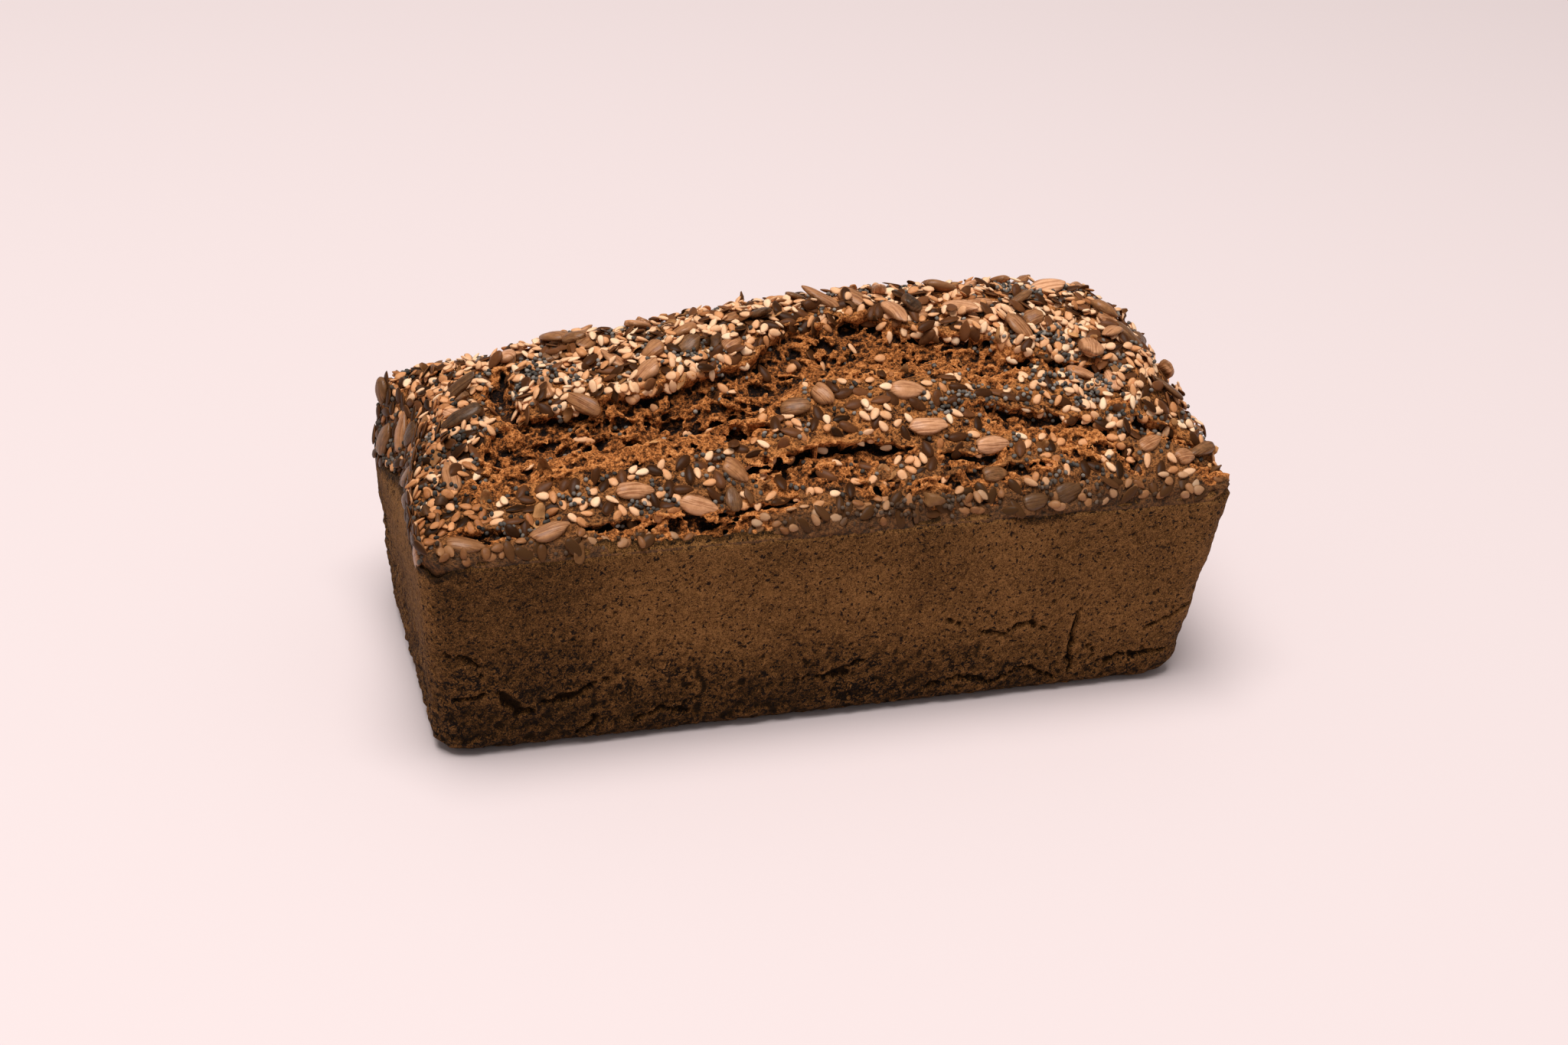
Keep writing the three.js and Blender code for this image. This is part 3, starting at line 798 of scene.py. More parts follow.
    def build(self) -> bpy.types.Object:
        """Builds the walls: rows carried up a profile of foot, wall and lip, closed within the loaf.

        Returns:
            The closed piece.
        """
        form = self.form
        share = (np.arange(self.columns) / self.columns)[None, :]
        rim_x, rim_y, _, _ = self.outline(np.zeros(1), np.zeros(1), share)
        end = self.crust_top(rim_x, rim_y)
        foot = np.linspace(0.0, 1.0, self.foot_rows, endpoint=False) ** 1.3 * form.foot_radius
        climb = np.linspace(0.0, 1.0, self.wall_rows)[:, None]
        wall = form.foot_radius + climb * (np.minimum(end, self.turn_height) - form.foot_radius)
        over = np.linspace(0.0, 1.0, self.lip_rows + 1)[1:, None]
        lip = over * np.maximum(end - self.turn_height, 0.02)
        height = np.concatenate([np.repeat(foot[:, None], self.columns, 1), wall,
                                 np.minimum(end, self.turn_height) + 0.0 * lip])
        inward = np.concatenate([np.zeros((self.foot_rows + self.wall_rows, self.columns)), lip * 0.85])
        lip_way = np.concatenate([np.zeros((self.foot_rows + self.wall_rows, self.columns)), lip])
        lean = np.clip(1.0 - height / form.rim_height, 0.0, 1.0)
        below = np.clip(1.0 - height / form.foot_radius, 0.0, 1.0)
        tuck = form.foot_radius * (1.0 - np.sqrt(1.0 - below ** 2))
        bulge = form.wall_swell * form.waves(rim_x + 1.7 * height, rim_y + 40.0) * np.sin(
            np.pi * np.clip(height / 61.0, 0.0, 1.0) ** 0.48)
        x, y, normal_x, normal_y = self.outline(form.end_taper * lean + tuck - bulge + inward,
                                                form.side_taper * lean + tuck - bulge + inward, share)
        on_lip = inward > 0.0
        z = np.where(on_lip, np.minimum(form.crust_height(x, y) + 0.45, height + 1.1 * inward + 0.4), height)
        points = form.slumped(np.stack([x, y, z], axis=-1))
        low = ease(33.0, 5.0, z + 9.0 * value_noise(points, 17.0, 71) + 0.07 * points[..., 0])
        move = self.relief(points, low) * ease(0.0, 1.5, z)
        slope = ease(0.0, form.foot_radius, z)
        points[..., 0] += move * normal_x
        points[..., 1] += move * normal_y
        points[..., 2] = np.maximum(points[..., 2] - move * (1.0 - slope) * 0.3, 0.0)
        inwards = [normal_x[:1] * 1.4, normal_y[:1] * 1.4, np.full((1, self.columns), 0.5)]
        tucked = points[-1:] - np.stack(inwards, -1)
        sealed = tucked - np.stack([normal_x[:1] * 1.2, normal_y[:1] * 1.2, 0.0 * normal_x[:1]], -1)
        sealed[..., 2] = self.tucked_height
        base = self.base_points(points[0])
        rows = np.concatenate([base, points, tucked, sealed])
        # 1 on crests and 0 in hollows: the mask for painted light on crests and painted shade in hollows.
        painted_crest_light = np.clip(0.5 + (move - blur(move, 3)) / 0.9 + move / 3.0, 0.0, 1.0)
        painted_crest_light = np.concatenate([np.full((len(base), self.columns), 0.45), painted_crest_light,
                                 np.full((2, self.columns), 0.5)])
        painted_shade = self.darkness(end, height, lip_way, x, normal_x, normal_y)
        base_ones, ends = np.ones((len(base), self.columns)), np.zeros((2, self.columns))
        marks = {"painted_crest_light": painted_crest_light, "low": np.concatenate([base_ones, low, ends]),
                 "painted_shade": np.concatenate([0.0 * base_ones, painted_shade, ends + 1.0])}
        count = len(rows)
        sides = tube_faces(count, self.columns)
        lids = np.array([np.arange(self.columns)[::-1], np.arange(self.columns) + (count - 1) * self.columns])
        made = make_mesh("tin_crust", form.settled(rows.reshape(-1, 3)), [sides, lids], marks)
        made.data.materials.append(TinCrust().build())
        return made

    def darkness(self, end: Array, height: Array, lip_way: Array, x: Array, normal_x: Array,
                 normal_y: Array) -> Array:
        """Painted shade at the crust's upper edge and high on the front wall's left half; painted light on
        the left end.

        Args:
            end: how far up the crust reaches, for each column.
            height: height up the wall.
            lip_way: way gone over the lip.
            x: places along the loaf.
            normal_x: outward normal's x.
            normal_y: outward normal's y.

        Returns:
            1 where shade is painted at the edge, 0 on plain crust and a little less where light is painted on
            the left end.
        """
        edge = ease(1.1, 0.2, end - np.minimum(end, self.turn_height) - lip_way)
        edge = edge * ease(2.2, 0.4, end - height - lip_way)
        on_front, on_left = ease(-0.6, -0.95, normal_y), ease(-0.6, -0.95, normal_x)
        shaded = self.front_shade * ease(-40.0, -90.0, x) * ease(20.0, 50.0, height) * on_front
        return np.maximum(edge, shaded) - self.left_painted_light * on_left

    def base_points(self, ring: Array) -> Array:
        """Rings of the base, from its middle outwards: the foot's ring drawn in, with shallow pores."""
        shares = np.linspace(0.08, 1.0, self.base_rows, endpoint=False)[:, None, None]
        rings = ring[None] * shares
        pores = 0.35 * pits(rings, 6.0, (0.8, 2.2), 0.4, 81) + 0.12 * (1 + value_noise(rings, 4.0, 86))
        rings[..., 2] = pores * ease(1.0, 0.9, shares[..., 0])
        return rings


# ---- The crown -----------------------------------------------------------------------------------

def grid_noise(axes: Sequence[Array], pitch: Sequence[float], seed: int) -> Array:
    """Smooth noise on a whole box grid: random numbers at the corners of a coarse lattice, blended along
    one axis after another by 3t^2 - 2t^3.

    Args:
        axes: the places of the grid's planes along each axis.
        pitch: size of a lattice cell along each axis.
        seed: which noise.

    Returns:
        Numbers from -1 to 1 on the grid.
    """
    blends = []
    for places, size in zip(axes, pitch):
        place = (places - places.min()) / size + 0.37
        low = np.floor(place).astype(int)
        part = ease(0.0, 1.0, place - low)
        blend = np.zeros((len(places), low.max() + 2), np.float32)
        blend[np.arange(len(places)), low] = 1.0 - part
        blend[np.arange(len(places)), low + 1] += part
        blends.append(blend)
    values = np.random.default_rng(seed).uniform(-1.0, 1.0, [blend.shape[1] for blend in blends])
    values = values.astype(np.float32)
    for blend in blends:
        values = np.tensordot(values, blend, axes=([0], [1]))
    return values


@dataclass(frozen=True)
class NoiseLayer:
    """One layer of noise on a grid: how strong it is, its pitch along each axis and which noise it is."""

    strength: float
    pitch: tuple[float, float, float]
    seed: int


def layered(axes: Sequence[Array], layers: Sequence[NoiseLayer], base: Any = 0.0) -> Array:
    """Adds layers of noise to a base, one after another.

    Args:
        axes: the places of the grid's planes along each axis.
        layers: the layers.
        base: what they are added to.

    Returns:
        The sum on the grid.
    """
    return sum((layer.strength * grid_noise(axes, layer.pitch, layer.seed) for layer in layers), base)


def surface_net(level: Array) -> tuple[Array, Array]:
    """Finds the skin of a solid on a box grid, with one point in each cell that the skin passes through.

    A cell's point is the mean of the places where the level passes zero on the cell's edges. Each edge
    of the grid that the skin crosses gives one face, through the four cells around it.

    Args:
        level: a number on each grid point, above zero within the solid.

    Returns:
        Points in grid steps, and four-sided faces that point out of the solid.
    """
    inside = level > 0.0
    near = [slice(None, -1), slice(1, None)]
    full = np.zeros(tuple(size - 1 for size in level.shape), np.int8)
    for corner in np.ndindex(2, 2, 2):
        full += inside[tuple(near[step] for step in corner)]
    mixed = (full > 0) & (full < 8)
    cells = np.argwhere(mixed)
    number = np.full(mixed.shape, -1, np.int64)
    number[mixed] = np.arange(len(cells))
    total, count = np.zeros((len(cells), 3)), np.zeros((len(cells), 1))
    faces = []
    for axis in range(3):
        step = np.eye(3, dtype=int)[axis]
        for corner in np.ndindex(2, 2):
            offset = np.insert(np.array(corner), axis, 0)
            first, last = cells + offset, cells + offset + step
            low, high = level[tuple(first.T)], level[tuple(last.T)]
            crossed = ((low > 0.0) != (high > 0.0))[:, None]
            share = (low / np.where(low == high, 1.0, low - high))[:, None]
            total += np.where(crossed, offset + share * step, 0.0)
            count += crossed
        low, high = np.moveaxis(inside, axis, 0)[:-1], np.moveaxis(inside, axis, 0)[1:]
        changed = np.argwhere(np.moveaxis(low != high, 0, axis))
        one, two = (axis + 1) % 3, (axis + 2) % 3
        kept = np.ones(len(changed), bool)
        for side in (one, two):
            kept &= (changed[:, side] > 0) & (changed[:, side] < level.shape[side] - 1)
        changed = changed[kept]
        corners = []
        for back_one, back_two in ((1, 1), (0, 1), (0, 0), (1, 0)):
            cell = changed.copy()
            cell[:, one] -= back_one
            cell[:, two] -= back_two
            corners.append(number[tuple(cell.T)])
        quads = np.stack(corners, axis=-1)
        outward = inside[tuple(changed.T)]
        faces.append(np.where(outward[:, None], quads, quads[:, ::-1]))
    return cells + total / count, np.concatenate(faces)


def blur_box(values: Array, steps: Sequence[int]) -> Array:
    """Evens out a box grid by averaging it over a window that reaches that many steps along each axis."""
    for axis, step in enumerate(steps):
        edges = [(0, 0)] * 3
        edges[axis] = (step + 1, step)
        sums = np.cumsum(np.pad(values, edges, mode="edge"), axis=axis, dtype=np.float64)
        count = values.shape[axis]
        upper = np.take(sums, range(2 * step + 1, 2 * step + 1 + count), axis=axis)
        values = ((upper - np.take(sums, range(count), axis=axis)) / (2 * step + 1)).astype(np.float32)
    return values


def reached(open_cells: Array, start: Array) -> Array:
    """Spreads from the start through the open grid points, face to face, until nothing more is reached."""
    found = start & open_cells
    size = 0
    while True:
        for axis in range(3):
            turned = np.moveaxis(found, axis, 0)
            allowed = np.moveaxis(open_cells, axis, 0)
            turned[1:] |= turned[:-1] & allowed[1:]
            turned[:-1] |= turned[1:] & allowed[:-1]
        if int(found.sum()) == size:
            return found
        size = int(found.sum())


@dataclass(frozen=True)
class Patch:
    """A patch of torn crumb that shows on the crown: its middle, its reach and how far it stands up."""

    x: float
    y: float
    reach_x: float
    reach_y: float
    torn: float = 1.0
    rise: float = 0.0


@dataclass
class Crown:
    """The risen top: crust, the long tear with its crumb, and the cracks.

    It is worked out as a solid on a grid that follows the crown: lines along it, lines across it by the
    length of its curve, and layers above and below its smooth crust. The grid's outer lines fold over
    the rim and run down inside the walls.
    """

    form: LoafForm
    walls: TinWalls
    cell: float = 0.38
    back_cell: float = 0.75
    fine_until: float = 11.0
    skirt_lines: int = 10
    deepest: float = -10.8
    highest: float = 2.6
    end_round: float = 3.0
    splits: tuple[float, ...] = (-100.0, -52.0, -4.0, 44.0, 100.0)
    floor_z: float = 34.0
    undercut: float = 1.6
    crack_tilt: float = 0.3
    crust_roughness: float = 0.34
    buried_roughness: float = 0.25
    torn_roughness: float = 0.95
    ragged_along: tuple[NoiseLayer, ...] = (NoiseLayer(1.5, (6.0, 6.0, 1.0), 11),)
    ragged_across: tuple[NoiseLayer, ...] = (
        NoiseLayer(1.5, (9.0, 6.0, 1.0), 12), NoiseLayer(1.0, (3.4, 2.6, 1.0), 13),
        NoiseLayer(0.5, (1.5, 1.2, 1.0), 14),
    )
    uneven_crust: tuple[NoiseLayer, ...] = (
        NoiseLayer(0.7, (7.0, 6.0, 1.0), 15), NoiseLayer(0.4, (2.4, 2.2, 1.0), 16),
        NoiseLayer(0.22, (1.0, 1.0, 1.0), 17),
    )
    lumps: tuple[NoiseLayer, ...] = (
        NoiseLayer(1.5, (8.0, 5.5, 4.5), 20), NoiseLayer(1.25, (4.0, 3.0, 2.8), 21),
    )
    grains: tuple[NoiseLayer, ...] = (
        NoiseLayer(0.85, (2.1, 1.8, 1.7), 22), NoiseLayer(0.70, (1.15, 1.05, 1.0), 23),
        NoiseLayer(0.50, (0.8, 0.78, 0.78), 24),
    )
    # share of the torn skin's grid points that get a pore, and its smallest and largest radius
    pores: tuple[tuple[float, float, float], ...] = (
        (0.0016, 1.0, 1.8), (0.006, 0.6, 0.95), (0.028, 0.36, 0.6),
    )
    patches: tuple[Patch, ...] = (
        Patch(-3.0, -35.3, 9.5, 2.6, 1.0, 1.3),
        Patch(65.0, -35.0, 7.0, 3.0, 0.7, 0.2),
        Patch(96.0, -40.5, 5.0, 3.6, 0.9, 0.2),
        Patch(48.0, -29.4, 9.0, 1.2, 0.9, 0.3),
        Patch(76.0, -26.0, 6.0, 1.2, 0.8, 0.4),
        Patch(-84.0, -27.0, 6.0, 4.0, 0.8, 0.4),
        Patch(-52.0, -25.0, 33.0, 3.4, 1.0, 1.2),
        Patch(34.0, -36.8, 9.0, 1.0, 0.8, 0.2),
    )
    holes: tuple[tuple[float, float, float], ...] = (
        (-36.0, -13.0, 2.6), (-58.0, -17.0, 2.0), (-63.0, -15.0, 1.8), (-75.0, -17.0, 2.0),
        (-47.0, -18.5, 2.6), (-84.0, -23.0, 1.6), (-2.0, 6.0, 2.0), (3.0, 7.4, 2.2), (9.0, 8.6, 2.6),
        (15.0, 8.6, 2.2), (20.5, 8.0, 1.8), (-12.0, -8.0, 2.0), (-24.0, -12.0, 2.0), (33.0, -6.0, 2.0),
        (-31.0, -17.0, 2.4), (-68.0, -12.0, 2.0), (-22.0, -22.0, 2.6), (-52.0, -12.0, 1.8),
    )
    line_x: Array = field(init=False, repr=False)
    line_y: Array = field(init=False, repr=False)
    surface: Array = field(init=False, repr=False)
    torn: Array = field(init=False, repr=False)

    # -- its smooth skin --

    def edge_rounding(self, x: Array) -> Array:
        """How far the crown drops near its two ends, as a quarter circle."""
        near = np.clip(1.0 - (self.form.rim_length / 2 - np.abs(x)) / self.end_round, 0.0, 1.0)
        return self.end_round * (1.0 - np.sqrt(1.0 - near ** 2))

    def lay_lines(self) -> tuple[Array, Array, Array, Array]:
        """Chooses the grid's lines: even along the crown, and even by the length of its curve across it.

        Returns:
            The lines along and across as shares of the half sizes, and both as lengths.
        """
        half_x, half_y = self.form.rim_length / 2, self.form.rim_width / 2
        count = int(2 * half_x / self.cell)
        along = np.linspace(-half_x, half_x, count + 1)
        fine = np.linspace(-half_y, half_y, 9201)
        rise = np.gradient(self.form.crown_height(np.full_like(fine, -5.0), fine), fine)
        curve = np.sqrt(1.0 + np.clip(rise, -9.0, 9.0) ** 2)
        size = np.where(fine < self.fine_until, self.cell, self.back_cell)
        steps = np.concatenate([[0.0], np.cumsum(curve[1:] / size[1:] * np.diff(fine))])
        number = np.linspace(0.0, steps[-1], int(steps[-1]) + 1)
        across = np.interp(number, steps, fine)
        length = np.interp(across, fine, np.concatenate([[0.0], np.cumsum(curve[1:] * np.diff(fine))]))
        more = np.arange(1, self.skirt_lines + 1)
        span = 0.001 * more
        u = np.concatenate([-1.0 - span[::-1], along / half_x, 1.0 + span])
        v = np.concatenate([-1.0 - span[::-1], across / half_y, 1.0 + span])
        s = np.concatenate([along[0] - self.cell * more[::-1], along, along[-1] + self.cell * more])
        t = np.concatenate([length[0] - self.cell * more[::-1], length, length[-1] + self.cell * more])
        return u, v, s, t

    def skin(self, u: Array, v: Array) -> tuple[Array, Array]:
        """The crown's smooth skin and its outward directions, with its rim folded down inside the walls.

        Args:
            u: lines along the crown, beyond 1 on the fold.
            v: lines across it, likewise.

        Returns:
            Points and unit normals on the grid.
        """
        form = self.form
        uu, vv = np.meshgrid(u, v, indexing="ij")
        ring = np.maximum(np.maximum(np.abs(uu), np.abs(vv)), 1.0)
        x, y = form.on_plan(uu / ring, vv / ring)
        top = form.crust_height(x, y) - self.edge_rounding(x)
        top = top - form.crown_settle * ease(0.0, 12.0, form.rim_width / 2 - np.abs(y))
        down = (ring - 1.0) / (0.001 * self.skirt_lines)
        bottom = np.minimum(self.walls.crust_top(x, y) - 2.5, top - 1.2)
        z = top + (bottom - top) * down
        draw = 0.3 + 0.9 * down
        lean = np.clip(1.0 - z / form.rim_height, 0.0, 1.0)
        points = form.slumped(np.stack([x, y, z], axis=-1))
        points[..., 0] *= 1.0 - (draw + lean * form.end_taper * (down > 0)) * 2.0 / form.rim_length
        points[..., 1] *= 1.0 - (draw + lean * form.side_taper * (down > 0)) * 2.0 / form.rim_width
        even = blur(points, 3)
        normal = np.cross(np.gradient(even, axis=0), np.gradient(even, axis=1))
        normal = normal / np.linalg.norm(normal, axis=-1, keepdims=True)
        return points, normal

    # -- its solid --

    def tear_relief(self, x: Array, y: Array, under: float) -> tuple[Array, Array]:
        """The tear's floor below the crust, and where the crown is torn.

        On the left a step in front of the deepest line leaves a ridge of crumb at the crust's level. In
        the middle the floor is a hollow whose back slopes up towards the wall. The wall is steep, and
        lies further back the deeper it is.

        Args:
            x: places along the loaf.
            y: places across it.
            under: how far the wall has moved back at this depth.

        Returns:
            Heights of zero and less, and how torn each place is from 0 to 1.
        """
        form = self.form
        front, back = form.along_tear("front", x), form.along_tear("back", x) + under
        across = (y - front) / (back - front)
        first, last = form.tear[0].x, form.tear[-1].x
        within = ease(first, first + 5.0, x) * ease(last, last - 6.0, x)
        wall = 1.0 - ease(1.0 - 1.1 / (back - front), 1.0, across)
        left = ease(-10.0, -32.0, x)
        sloped = 0.3 * ease(-0.05, 0.12, across) + 0.8 * ease(0.1, 0.5, across)
        sloped = sloped - 0.55 * ease(0.5, 1.0, across)
        stepped = 0.16 * ease(-0.05, 0.08, across) + 1.0 * ease(0.24, 0.36, across)
        stepped = stepped - 0.62 * ease(0.36, 1.0, across)
        share = sloped * (1.0 - left) + stepped * left
        depth = form.along_tear("depth", x) + 0.9
        torn = ease(-0.05, 0.05, across) * (across < 1.0) * (within > 0.05)
        return -(depth + 1.3 * left) * share * wall * within, torn

    def solid(self, x: Array, y: Array, s: Array, t: Array, w: Array) -> tuple[Array, Array]:
        """Works out the level of the crown's solid on its grid: above zero in bread, below in air.

        It is the height of the relief less the height of the layer, broken up by noise, with the cracks
        and then the pores cut out of it.

        Args:
            x: places of the grid's lines along the loaf.
            y: places across it.
            s: the same lines as lengths along.
            t: the same lines as lengths across.
            w: heights of the layers.

        Returns:
            The level on the grid, and how torn each place is.
        """
        plan = (s, t, np.zeros(1))
        rag_x = layered(plan, self.ragged_along, x[..., None])[..., 0]
        rag_y = layered(plan, self.ragged_across, y[..., None])[..., 0]
        gape = grid_noise(plan, (3.2, 3.2, 1.0), 18)[..., 0]
        skin = layered(plan, self.uneven_crust)[..., 0]
        rise, torn_patch = np.zeros_like(x), np.zeros_like(x)
        for patch in self.patches:
            spot = ((rag_x - patch.x) / patch.reach_x) ** 2 + ((rag_y - patch.y) / patch.reach_y) ** 2
            torn_patch = np.maximum(torn_patch, patch.torn * ease(1.3, 0.75, spot))
            rise = rise + patch.rise * ease(1.3, 0.3, spot)
        cracks = []
        for crack in CRACKS:
            distance, along, before = route_distance(rag_x, rag_y, crack.route)
            open_part = np.sin(np.pi * np.clip(along, 0.02, 0.98)) ** 0.6
            half = crack.width / 2 * (0.3 + 0.9 * open_part) * (1.0 + 0.45 * gape)
            torn_patch = np.maximum(torn_patch, ease(half + np.where(before, 1.6, 0.4), half, distance))
            rise = rise + open_part * np.where(before, -crack.step * ease(9.0, 1.0, distance),
                                               min(crack.step, 1.0) * 0.6 * ease(4.0, 0.6, distance))
            cracks.append((crack, half))
        level = np.empty((len(s), len(t), len(w)), np.float32)
        torn = np.empty_like(level)
        for number, height in enumerate(w):
            under = self.undercut * float(ease(-0.4, -4.5, height))
            floor, torn_here = self.tear_relief(rag_x, rag_y, under)
            layer = floor + rise + skin * 0.8 - height
            for crack, half in cracks:
                distance, _, _ = route_distance(rag_x, rag_y + self.crack_tilt * height, crack.route)
                narrowing = np.sqrt(np.clip(1.0 + height / crack.depth, 0.0, 1.0))
                layer = np.minimum(layer, 1.4 * (distance - half * narrowing) + 4.0 * (narrowing == 0.0))
            level[..., number] = layer
            torn[..., number] = np.maximum(torn_here, torn_patch)
        broken = layered((s, t, w), self.grains)
        rough = layered((s, t, w), self.lumps) + broken
        buried = ease(-0.3, -1.0, w)[None, None, :] * np.ones_like(torn)
        smooth = self.crust_roughness + self.buried_roughness * buried
        level += rough * np.maximum(torn * self.torn_roughness, smooth)
        self.cut_pores(level, torn, broken, x, y, s, t, w)
        level[..., :2] = np.maximum(level[..., :2], 0.3)
        level[..., -2:] = np.minimum(level[..., -2:], -0.3)
        return level, torn

    def cut_pores(self, level: Array, torn: Array, broken: Array, x: Array, y: Array, s: Array, t: Array,
                  w: Array) -> None:
        """Cuts ragged pores out of the torn crumb, each an ellipsoid broken up by the crumb's own grain.

        Their middles are picked at random among the grid points near the skin, so that steep walls get
        them as well as the floor. The large ones are listed.
        """
        random = np.random.default_rng(29)
        band = np.argwhere((np.abs(level) < 0.45) & (torn > 0.6))
        ridge = (x < -18.0) & (y > -30.0) & (y < -21.5)
        picks = []
        for share, low, high in self.pores:
            chosen = band[random.integers(0, len(band), int(share * len(band)))]
            chosen = chosen[~ridge[chosen[:, 0], chosen[:, 1]] | (high < 0.7)]
            radius = random.uniform(low, high, len(chosen))
            below = w[chosen[:, 2]] - 0.25 * radius
            picks.append(np.column_stack([s[chosen[:, 0]], t[chosen[:, 1]], below, radius]))
        large = []
        for hole_x, hole_y, radius in self.holes:
            row = int(np.argmin(np.abs(x[:, x.shape[1] // 2] - hole_x)))
            column = int(np.argmin(np.abs(y[row] - hole_y)))
            depth = w[max(int((level[row, column] > 0.0).sum()) - 1, 2)]
            large.append((s[row], t[column], depth - 0.3 * radius, radius))
        for middle_s, middle_t, middle_w, radius in np.concatenate([large, *picks]):
            spans = []
            for places, middle, reach in ((s, middle_s, 1.9), (t, middle_t, 1.2), (w, middle_w, 1.1)):
                first, last = np.searchsorted(places, (middle - reach * radius, middle + reach * radius))
                spans.append(slice(max(first - 1, 0), last + 1))
            far = np.sqrt(((s[spans[0]] - middle_s) / 1.35)[:, None, None] ** 2
                          + (t[spans[1]] - middle_t)[None, :, None] ** 2
                          + ((w[spans[2]] - middle_w) / 0.85)[None, None, :] ** 2)
            box = tuple(spans)
            level[box] = np.minimum(level[box], far - radius + 0.5 * broken[box] * min(radius, 1.6))

    # -- its mesh --

    def build(self) -> list[bpy.types.Object]:
        """Builds the crown as four closed pieces that meet across the tear.

        Returns:
            The pieces.
        """
        u, v, s, t = self.lay_lines()
        layers = int((self.highest - self.deepest) / self.cell)
        w = self.deepest + self.cell * np.arange(layers + 1)
        skin, normal = self.skin(u, v)
        uu, vv = np.meshgrid(u, v, indexing="ij")
        x, y = uu * self.form.rim_length / 2, vv * self.form.rim_width / 2
        level, torn = self.solid(x, y, s, t, w)
        fold = np.maximum(np.abs(uu), np.abs(vv)) > 1.0 - 0.7 * self.cell / 46.0
        level[fold] = np.clip(-w - 0.05, -2.0, 2.0)
        level = self.in_one_piece(level)
        solid = (level > 0.0).astype(np.float32)
        reach = solid.sum(axis=-1) - 1.0
        self.line_x, self.line_y = x[:, 0], y[0]
        height = np.interp(reach, np.arange(len(w)), w) + self.cell / 2
        self.surface = self.form.settled(skin + normal * height[..., None])
        self.torn = np.take_along_axis(torn, reach.astype(int)[..., None], axis=-1)[..., 0]
        grid, faces = surface_net(level)
        fine, coarse = blur_box(solid, (2, 2, 2)), blur_box(solid, (7, 7, 6))
        # Darker towards the front: glaze, and painted shade on the lip.
        glazed_and_shaded = np.maximum(ease(-39.5, -44.5, y), 0.5 * ease(-30.0, -35.0, y))
        # How open each point is paints light on crests and shade in hollows.
        marks = {
            "painted_crest_light": np.clip(1.0 - self.sample(fine, grid), 0.0, 1.0),
            "painted_hollow_shade": np.clip(self.sample(coarse, grid) * 2.0 - 1.0, 0.0, 1.0),
            "torn": self.sample(torn, grid),
            "rim": self.sample(np.repeat(glazed_and_shaded[..., None], 3, axis=2), grid)[:, 0],
        }
        depth = self.deepest + self.cell * grid[:, 2]
        # Painted shade: crumb darker the deeper it lies in the tear.
        marks["deep"] = ease(-1.2, -6.5, depth)
        marks["torn"] = np.clip(np.maximum(marks["torn"], ease(-0.5, -1.4, depth)), 0.0, 1.0)
        points = self.form.settled(self.sample(skin, grid) + self.sample(normal, grid) * depth[:, None])
        LOG.info("crown: %d faces", len(faces))
        part = np.searchsorted(self.splits[1:-1], points[faces[:, 0], 0])
        names = ("crown_left", "crown_mid_left", "crown_mid_right", "crown_right")
        return [self.closed_piece(name, points, faces[part == number], marks)
                for number, name in enumerate(names)]

    @staticmethod
    def in_one_piece(level: Array) -> Array:
        """Takes away the crumbs that float free in the air, and fills the bubbles shut up in the bread."""
        bottom, top = np.zeros_like(level, bool), np.zeros_like(level, bool)
        bottom[..., 0], top[..., -1] = True, True
        level = np.where((level > 0.0) & ~reached(level > 0.0, bottom), -0.2, level)
        return np.where((level <= 0.0) & ~reached(level <= 0.0, top), 0.2, level)

    @staticmethod
    def sample(values: Array, grid: Array) -> Array:
        """Values at places between grid points, blended along the first two axes and, where there is
        a third, taken at the nearest layer."""
        low = np.minimum(np.floor(grid[:, :2]).astype(int), np.array(values.shape[:2]) - 2)
        part = grid[:, :2] - low
        layered = values.ndim == 3 and values.shape[2] > 3
        layer = np.rint(grid[:, 2]).astype(int)
        total = 0.0
        for step in np.ndindex(2, 2):
            weight = np.prod(np.where(np.array(step) == 1, part, 1.0 - part), axis=1)
            place = (low[:, 0] + step[0], low[:, 1] + step[1])
            found = values[(*place, layer)] if layered else values[place]
            total = total + (found * weight if layered else found * weight[:, None])
        return total

    def closed_piece(self, name: str, points: Array, faces: Array,
                     marks: Mapping[str, Array]) -> bpy.types.Object:
        """Closes a part of the skin: walls straight down from its open edges, and a flat fan below.

        An edge is open where more faces run along it one way than the other, also where four of the
        whole skin's faces meet.

        Args:
            name: the piece's name.
            points: all points of the skin.
            faces: the part's faces.
            marks: named numbers for all points.

        Returns:
            The closed piece.
        """
        used, faces = np.unique(faces, return_inverse=True)
        faces = faces.reshape(-1, 4)
        points = points[used]
        ahead = np.roll(faces, -1, axis=1)
        edges = np.stack([faces.ravel(), ahead.ravel()], axis=1)
        keys, where = np.unique(np.sort(edges, axis=1) @ np.array((len(points), 1)), return_inverse=True)
        surplus = np.bincount(where.ravel(), np.sign(edges[:, 1] - edges[:, 0])).astype(int)
        low, high = np.divmod(keys, len(points))
        rim = np.where((surplus > 0)[:, None], np.stack([low, high], axis=1), np.stack([high, low], axis=1))
        rim = np.repeat(rim, np.abs(surplus), axis=0)
        rim_points, rim_numbers = np.unique(rim, return_inverse=True)
        rim_numbers = rim_numbers.reshape(-1, 2)
        start = len(points)
        lower = points[rim_points] * (0.93, 0.87, 1.0)
        lower[:, 2] = self.floor_z
        middle = lower.mean(axis=0)[None]
        end = start + len(lower)
        walls = np.stack([rim[:, 1], rim[:, 0], rim_numbers[:, 0] + start, rim_numbers[:, 1] + start], axis=1)
        fan = np.stack([rim_numbers[:, 1] + start, rim_numbers[:, 0] + start, np.full(len(rim), end)], axis=1)
        kept = {key: np.concatenate([values[used], np.full(len(lower) + 1, 0.3)])
                for key, values in marks.items()}
